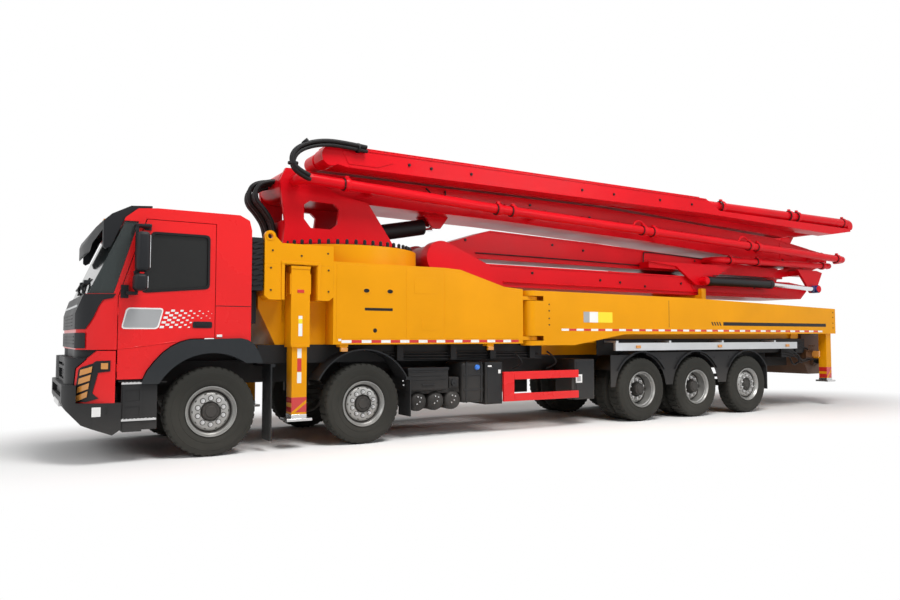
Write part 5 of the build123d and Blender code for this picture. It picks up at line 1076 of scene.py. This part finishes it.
# under the deck: boxes, air tanks, guards, hangers
sideBoxes = {
    "battery": {"x": (-2.68, -3.34), "y": (0.66, 1.200), "z": (0.675, 0.990), "soft": 0.020},
    "filter": {"x": (-3.37, -3.54), "y": (0.90, 1.160), "z": (0.690, 0.850), "soft": 0.015},
    "additive": {"x": (-3.575, -3.960), "y": (0.66, 1.195), "z": (0.470, 1.060), "soft": 0.055},
    "store": {"x": (-3.975, -4.285), "y": (0.66, 1.200), "z": (0.430, 1.055), "soft": 0.010},
    "rear": {"x": (-5.750, -6.170), "y": (0.66, 1.150), "z": (0.420, 1.070), "soft": 0.012},
}
for sideName, sign in bothSides():
    form = bmesh.new()
    for box in sideBoxes.values():
        start = set(form.edges)
        sideBlock(form, sign, at(box["x"][0]), at(box["x"][1]), *box["y"], *box["z"])
        bmesh.ops.bevel(form, geom=[e for e in form.edges if e not in start], offset=box["soft"],
                        offset_type="OFFSET", segments=4, profile=0.5, affect="EDGES", clamp_overlap=True,
                        material=-1)
    for x in (-2.90, -3.25, -3.80, -4.10, -5.95):  # hangers on the frame
        sideBlock(form, sign, at(x - 0.04), at(x + 0.04), 0.4203, 0.70, 0.86, 0.96)
        sideBlock(form, sign, at(x - 0.04), at(x + 0.04), 0.4203, 0.445, 0.70, 0.96)
    sideBlock(form, sign, at(-2.74), at(-3.56), 0.70, 1.12, 0.625, 0.690)
    closeForm(form, f"sideBoxes_{sideName}", "frameGrey", "chassis", replaced=("side_tanks",)
              if sign > 0 else ())
    form = bmesh.new()
    for step in range(3):
        x = -2.873 - step * 0.284
        profile = [(0.001, 0.0), (0.060, 0.004), (0.100, 0.018), (0.126, 0.040), (0.135, 0.066), (0.135, 0.078),
                   (0.137, 0.080), (0.137, 0.092), (0.135, 0.094), (0.135, 0.470), (0.126, 0.500), (0.080, 0.525),
                   (0.001, 0.535)]
        spinRing(form, [(r, -sign * a) for r, a in profile], (at(x), sign * 1.185, 0.520), (0, 1, 0), 40, closed=False)
        for y in (0.80, 1.04):  # straps
            spinRing(form, [(0.136, -0.014), (0.1395, -0.014), (0.1395, 0.014), (0.136, 0.014)],
                     (at(x), sign * y, 0.520), (0, 1, 0), 40)
    closeForm(form, f"airTanks_{sideName}", "ironDark", "chassis")
    form = bmesh.new()
    for step in range(3):
        x = -2.873 - step * 0.284
        for dx, dz in ((0.0, 0.0), (0.045, -0.03), (-0.02, 0.055), (0.03, 0.07)):
            sideRound(form, sign, x + dx, 0.520 + dz, 1.165, 1.192, 0.011, 6)
            sideRound(form, sign, x + dx, 0.520 + dz, 1.180, 1.200, 0.006, 10)
    for z in (0.86, 0.62):
        sideRound(form, sign, -4.245, z, 1.199, 1.206, 0.010, 6)
    for x, z in ((-2.56, 1.02), (-2.62, 0.82), (-2.63, 0.76)):
        sideRound(form, sign, x, z, 1.150, 1.165, 0.012, 6)
    closeForm(form, f"tankFittings_{sideName}", "steelBright", "chassis")
    form = bmesh.new()  # lid ribs, box doors, moulded ribs and handles
    for z in (0.930, 0.875, 0.820):
        sideBlock(form, sign, at(-2.72), at(-3.30), 1.198, 1.206, z, z + 0.014)
    sideBlock(form, sign, at(-2.90), at(-3.10), 1.200, 1.216, 0.745, 0.770)
    sideBlock(form, sign, at(-2.675), at(-3.345), 1.10, 1.207, 0.958, 0.996)
    for z in (0.640, 0.860):
        sideBlock(form, sign, at(-3.60), at(-3.94), 1.190, 1.202, z, z + 0.030)
    for x in (-3.645, -3.905):
        sideBlock(form, sign, at(x - 0.012), at(x + 0.012), 0.70, 1.203, 1.052, 1.068)
        sideBlock(form, sign, at(x - 0.012), at(x + 0.012), 1.190, 1.204, 0.47, 1.066)
    sideBlock(form, sign, at(-4.005), at(-4.255), 1.198, 1.207, 0.455, 1.020)
    sideBlock(form, sign, at(-5.78), at(-6.14), 1.148, 1.157, 0.45, 1.04)
    sideRound(form, sign, -3.455, 0.77, 1.158, 1.185, 0.055, 28)
    sideRound(form, sign, -3.455, 0.77, 1.158, 1.192, 0.020, 16)
    closeForm(form, f"boxRibs_{sideName}", "plasticBlack", "chassis", bevel=0.004)
    form = bmesh.new()
    sideRound(form, sign, -3.830, 0.985, 1.192, 1.222, 0.040, 28, 0.034)
    sideRound(form, sign, -3.830, 0.985, 1.215, 1.232, 0.022, 12)
    closeForm(form, f"tankCap_{sideName}", "capBlue", "chassis", bevel=0.003)
    form = bmesh.new()
    sideBlock(form, sign, at(-4.015), at(-4.085), 1.2072, 1.2084, 0.985, 1.008)
    sideBlock(form, sign, at(-4.205), at(-4.250), 1.2072, 1.2084, 0.885, 0.940)
    sideBlock(form, sign, at(-5.765), at(-5.900), 1.1572, 1.1584, 0.690, 0.825)
    closeForm(form, f"boxLabels_{sideName}", "plateWhite", "chassis", smooth=False)
    form = bmesh.new()
    sideBlock(form, sign, at(-5.795), at(-5.870), 1.1584, 1.1590, 0.715, 0.800)
    closeForm(form, f"boxTags_{sideName}", "plateGrey", "chassis", smooth=False)
    form = bmesh.new()  # red guard: post and two rails, carried on arms
    sideBlock(form, sign, at(-4.290), at(-4.485), 1.190, 1.235, 0.460, 0.905)
    sideBlock(form, sign, at(-4.486), at(-5.760), 1.190, 1.235, 0.785, 0.905)
    sideBlock(form, sign, at(-4.486), at(-5.760), 1.190, 1.235, 0.460, 0.575)
    closeForm(form, f"guardRails_{sideName}", "cabRed", "chassis", bevel=0.006,
              replaced=("side_guards",) if sign > 0 else ())
    form = bmesh.new()
    for x in (-4.42, -5.68):
        sideBlock(form, sign, at(x - 0.03), at(x + 0.03), 0.4203, 1.191, 0.82, 0.88)
        sideBlock(form, sign, at(x - 0.03), at(x + 0.03), 1.150, 1.191, 0.50, 0.88)
    # dark sheet closing the space under the deck, and one along the rear body below the beams: painted shade under the
    # overhangs; the frame's own fittings sit on the front one
    sideBlock(form, sign, at(-0.62), at(-5.20), 0.985, 0.992, 1.088, 1.328)
    for x in (-2.62, -3.50, -4.20, -4.95):
        sideBlock(form, sign, at(x - 0.05), at(x + 0.05), 0.990, 1.080, 1.10, 1.326)
    sideBlock(form, sign, at(-6.40), at(-12.20), 0.9505, 0.9540, 1.119, 1.395)
    closeForm(form, f"underShadeSheet_{sideName}", "frameGrey", "chassis", bevel=0.003)
    for number, (z, y, start, stop) in enumerate(((1.21, 1.01, -2.4, -5.1), (1.17, 1.02, -2.5, -5.3),
                                                  (1.13, 1.01, -2.6, -5.0))):
        makeTube(f"frameLine{number}_{sideName}", [(at(start), sign * y, z), (at(start - 0.9), sign * (y + 0.02),
                                                                              z - 0.02),
                                                   (at((start + stop) / 2), sign * y, z + 0.01),
                                                   (at(stop), sign * (y + 0.01), z - 0.03)],
                 0.013, "hoseBlack", "chassis")
    for number, x in enumerate((-4.62, -5.30)):  # looped brake hoses
        makeTube(f"brakeLoop{number}_{sideName}", [(at(x), sign * 1.0, 1.20), (at(x - 0.10), sign * 1.10, 1.10),
                                                   (at(x - 0.12), sign * 1.08, 0.98), (at(x - 0.02), sign * 0.95,
                                                                                       0.93)],
                 0.014, "hoseBlack", "chassis")
print("boxes and guards built")

# rear: legs and hopper gear
for sideName, sign in bothSides():
    leg = f"rear_leg_{sideName}"
    low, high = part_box(leg)
    footRim = 0.045
    yMid = (low.y + high.y) / 2
    x0 = (low.x + high.x) / 2
    half = high.x - x0 - footRim
    face = sign * yMid + half
    form = bmesh.new()
    addBlock(form, (low.x - 0.006, low.y - 0.006, low.z - 0.001), (high.x + 0.006, high.y + 0.006, low.z + 0.034))
    addBlock(form, (x0 - half - 0.006, yMid - half - 0.006, low.z + 0.030),
             (x0 + half + 0.006, yMid + half + 0.006, low.z + 0.075))
    closeForm(form, f"rearPad_{sideName}", "steelBright", leg, bevel=0.004)
    form = bmesh.new()  # red foot marks with a slanting gap
    yLow, yHigh = sorted((sign * face, sign * (face + 0.0012)))
    addPlate(form, [(x0 - half, 0.580), (x0 + half * 0.5, 0.580), (x0 - half, 0.720)], yLow, yHigh)
    addPlate(form, [(x0 + half, 0.590), (x0 + half, 0.800), (x0 - half, 0.800), (x0 - half, 0.765)], yLow, yHigh)
    for zLow, zHigh in ((0.580, 0.660), (0.710, 0.800)):
        addBlock(form, (x0 + half, yMid - half, zLow), (x0 + half + 0.0012, yMid + half, zHigh))
    closeForm(form, f"rearMarks_{sideName}", "lensRed", leg, smooth=False)
print("rear legs dressed")

# hopper gear behind the last axle
hopperLow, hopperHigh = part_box("hopper")
form = bmesh.new()
for step in range(13):  # grating over the hopper mouth
    y = -0.62 + step * 0.1033
    addRound(form, (hopperLow.x + 0.06, y, hopperHigh.z + 0.012), (hopperHigh.x - 0.06, y, hopperHigh.z + 0.012),
             0.010, 8)
for x in (hopperLow.x + 0.08, hopperHigh.x - 0.08):
    addRound(form, (x, -0.66, hopperHigh.z + 0.020), (x, 0.66, hopperHigh.z + 0.020), 0.014, 8)
closeForm(form, "hopperGrate", "frameGrey", "chassis")
for sideName, sign in bothSides():
    form = bmesh.new()
    for z in (0.98, 1.22):
        sideBlock(form, sign, hopperLow.x + 0.05, hopperHigh.x - 0.05, 0.70, 0.735, z, z + 0.035)
    for x in (0.15, 0.45, 0.75):
        sideBlock(form, sign, hopperLow.x + x, hopperLow.x + x + 0.02, 0.70, 0.73, 0.80, 1.40)
    sideRound(form, sign, hopperHigh.x - axle1X - 0.45, 0.93, 0.70, 0.80, 0.125, 28)
    for step in range(8):
        turn = step * pi / 4
        sideRound(form, sign, hopperHigh.x - axle1X - 0.45 + cos(turn) * 0.100, 0.93 + sin(turn) * 0.100, 0.80,
                  0.815, 0.013, 6)
    closeForm(form, f"hopperRibs_{sideName}", "hopperBrown", "chassis", bevel=0.004)
    form = bmesh.new()
    sideRound(form, sign, hopperHigh.x - axle1X - 0.45, 0.93, 0.80, 0.98, 0.062, 24)
    sideBlock(form, sign, hopperHigh.x - 0.53, hopperHigh.x - 0.37, 0.86, 0.96, 0.86, 1.00)
    sideBlock(form, sign, at(-11.35), at(-11.75), 0.62, 1.00, 1.02, 1.30)
    sideBlock(form, sign, at(-11.85), at(-12.10), 0.70, 0.98, 1.10, 1.30)
    closeForm(form, f"mixerMotor_{sideName}", "ironDark", "chassis", bevel=0.006)
    for number, (y, z, drop) in enumerate(((1.00, 1.30, 0.10), (0.92, 1.26, 0.22), (1.06, 1.22, 0.30), (0.86, 1.20,
                                                                                                        0.38),
                                           (1.02, 1.12, 0.24))):
        makeTube(f"gearHose{number}_{sideName}", [
            (at(-11.30), sign * y, z), (at(-11.62 - 0.05 * number), sign * (y + 0.03), z - drop * 0.3),
            (at(-11.95), sign * (y - 0.02), z - drop), (at(-12.25), sign * (y - 0.06), z - drop * 0.7),
            (hopperHigh.x - 0.45, sign * 0.93, 0.98)], 0.016 + 0.003 * (number % 2), "hoseBlack", "chassis")
    form = bmesh.new()  # valve block and its levers
    sideBlock(form, sign, at(-12.18), at(-12.42), 0.86, 1.00, 0.98, 1.16)
    for step in range(4):
        x = -12.21 - step * 0.055
        sideRound(form, sign, x, 1.13, 0.99, 1.02, 0.014, 10)
        addRound(form, (at(x), sign * 1.015, 1.13), (at(x), sign * 1.060, 1.245), 0.006, 8)
        addBall(form, (at(x), sign * 1.060, 1.250), 0.014, 10)
    closeForm(form, f"valveBlock_{sideName}", "hopperBrown", "chassis", bevel=0.003)
    form = bmesh.new()
    sideBlock(form, sign, at(-12.44), at(-12.47), 0.70, 1.10, 0.985, 1.03)
    sideBlock(form, sign, at(-11.25), at(-11.29), 0.60, 1.15, 1.24, 1.325)
    closeForm(form, f"gearTrim_{sideName}", "deckAmber", "chassis", bevel=0.003)
print("hopper gear on")

# dark panels filling the gaps between the rear mudguards: partly the dark underbody, partly painted shade in the open
# space under the body
rearAxles = [(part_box(f"wheel_{number}_left")[0].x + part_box(f"wheel_{number}_left")[1].x) / 2 for number in (3, 4, 5)]
hubZ, archRadius, panelTop = 0.537, 0.602, 1.125
turns = [radians(6 + step * 12) for step in range(7)]
for sideName, sign in bothSides():
    form = bmesh.new()
    yLow, yHigh = sorted((sign * 1.205, sign * 1.212))
    for front, rear in zip(rearAxles, rearAxles[1:]):
        outline = [(front - archRadius * cos(turn), hubZ + archRadius * sin(turn)) for turn in turns]
        outline += [(front - archRadius * cos(turns[-1]), panelTop + 0.04), (rear + archRadius * cos(turns[-1]),
                                                                             panelTop + 0.04)]
        outline += [(rear + archRadius * cos(turn), hubZ + archRadius * sin(turn)) for turn in reversed(turns)]
        addPlate(form, outline, yLow, yHigh)
        for x in (-0.05, 0.05):
            sideRound(form, sign, (front + rear) / 2 - axle1X + x * 4, 1.06, 1.212, 1.219, 0.014, 6)
    closeForm(form, f"archShadePanels_{sideName}", "frameGrey", "chassis", bevel=0.002)
    # the panel ahead of the first rear arch is the same mix of dark underbody and painted shade
    form = bmesh.new()
    addPlate(form, [(rearAxles[0] + archRadius * cos(turn), hubZ + archRadius * sin(turn)) for turn in turns]
             + [(rearAxles[0] + archRadius * cos(turns[-1]), panelTop), (rearAxles[0] + 0.70, panelTop),
                (rearAxles[0] + 0.70, hubZ + 0.06)], yLow, yHigh)
    closeForm(form, f"frontArchShadePanel_{sideName}", "frameGrey", "chassis", bevel=0.002)
print("arch panels in")

# floor, backdrop and light


def stageFloor():
    mesh = bpy.data.meshes.new("floor")
    form = bmesh.new()
    bmesh.ops.create_grid(form, x_segments=1, y_segments=1, size=160)
    form.to_mesh(mesh)
    form.free()
    floor = bpy.data.objects.new("floor", mesh)
    scene.collection.objects.link(floor)
    material = bpy.data.materials.new("floorWhite")
    material.use_nodes = True
    tree = material.node_tree
    tree.nodes.clear()
    matte = nodeOf(tree, "ShaderNodeBsdfDiffuse")
    matte.inputs["Color"].default_value = (0.93, 0.93, 0.93, 1)
    glow = nodeOf(tree, "ShaderNodeEmission")
    glow.inputs["Color"].default_value = (1, 1, 1, 1)
    # the floor turns into plain white away from the truck
    place = nodeOf(tree, "ShaderNodeTexCoord")
    stretch = nodeOf(tree, "ShaderNodeMapping")
    stretch.inputs["Scale"].default_value = (1 / 11.5, 1 / 4.6, 0)
    length = nodeOf(tree, "ShaderNodeVectorMath", operation="LENGTH")
    fade = nodeOf(tree, "ShaderNodeMapRange")
    fade.interpolation_type = "SMOOTHSTEP"
    fade.inputs["From Min"].default_value = 0.62
    fade.inputs["From Max"].default_value = 1.0
    blend = nodeOf(tree, "ShaderNodeMixShader")
    out = nodeOf(tree, "ShaderNodeOutputMaterial")
    tree.links.new(place.outputs["Object"], stretch.inputs["Vector"])
    tree.links.new(stretch.outputs["Vector"], length.inputs[0])
    tree.links.new(length.outputs["Value"], fade.inputs["Value"])
    tree.links.new(fade.outputs["Result"], blend.inputs["Fac"])
    tree.links.new(matte.outputs[0], blend.inputs[1])
    tree.links.new(glow.outputs[0], blend.inputs[2])
    tree.links.new(blend.outputs[0], out.inputs["Surface"])
    mesh.materials.append(material)


def addLamp(name, place, target, size, energy, color=(1, 1, 1)):
    data = bpy.data.lights.new(name, "AREA")
    data.shape = "RECTANGLE"
    data.size, data.size_y = size
    data.energy = energy
    data.color = color
    lamp = bpy.data.objects.new(name, data)
    lamp.location = place
    lamp.rotation_euler = (Vector(target) - Vector(place)).to_track_quat("-Z", "Y").to_euler()
    scene.collection.objects.link(lamp)


def setSky():
    world = bpy.data.worlds.new("paleSky")
    world.use_nodes = True
    tree = world.node_tree
    tree.nodes.clear()
    seen = nodeOf(tree, "ShaderNodeBackground")
    seen.inputs["Color"].default_value = (1, 1, 1, 1)
    fill = nodeOf(tree, "ShaderNodeBackground")
    # brighter overhead, greyer at the horizon, so paint and glass have something to mirror
    place = nodeOf(tree, "ShaderNodeTexCoord")
    split = nodeOf(tree, "ShaderNodeSeparateXYZ")
    ramp = nodeOf(tree, "ShaderNodeValToRGB")
    ramp.color_ramp.elements[0].position = 0.46
    ramp.color_ramp.elements[0].color = (0.14, 0.14, 0.15, 1)
    ramp.color_ramp.elements[1].position = 0.9
    ramp.color_ramp.elements[1].color = (1, 1, 1, 1)
    middle = ramp.color_ramp.elements.new(0.52)
    middle.color = (0.36, 0.37, 0.38, 1)
    half = nodeOf(tree, "ShaderNodeMath", operation="MULTIPLY_ADD")
    half.inputs[1].default_value = 0.5
    half.inputs[2].default_value = 0.5
    tree.links.new(place.outputs["Generated"], split.inputs[0])
    tree.links.new(split.outputs["Z"], half.inputs[0])
    tree.links.new(half.outputs[0], ramp.inputs["Fac"])
    tree.links.new(ramp.outputs["Color"], fill.inputs["Color"])
    fill.inputs["Strength"].default_value = 0.24
    ray = nodeOf(tree, "ShaderNodeLightPath")
    mix = nodeOf(tree, "ShaderNodeMixShader")
    out = nodeOf(tree, "ShaderNodeOutputWorld")
    plain = nodeOf(tree, "ShaderNodeMath", operation="MAXIMUM")
    clear = nodeOf(tree, "ShaderNodeMath", operation="MAXIMUM")
    tree.links.new(ray.outputs["Is Camera Ray"], plain.inputs[0])
    tree.links.new(ray.outputs["Is Glossy Ray"], plain.inputs[1])
    tree.links.new(plain.outputs[0], clear.inputs[0])
    tree.links.new(ray.outputs["Is Transmission Ray"], clear.inputs[1])
    tree.links.new(clear.outputs[0], mix.inputs["Fac"])
    tree.links.new(fill.outputs[0], mix.inputs[1])
    tree.links.new(seen.outputs[0], mix.inputs[2])
    tree.links.new(mix.outputs[0], out.inputs["Surface"])
    scene.world = world


stageFloor()
setSky()
addLamp("keyLamp", (3, 8, 13.5), (0.5, 0, 1.2), (6, 6), 1820, (1, 0.98, 0.96))
addLamp("frontLamp", (15, 5, 7), (6, 0, 1.6), (5, 5), 330)
addLamp("sideLamp", (-7, 13, 7), (-3, 0, 2.0), (7, 5), 470, (0.96, 0.98, 1))
addLamp("topLamp", (0, -2, 13), (0, 0, 0), (16, 5), 380)
print("floor and light set")
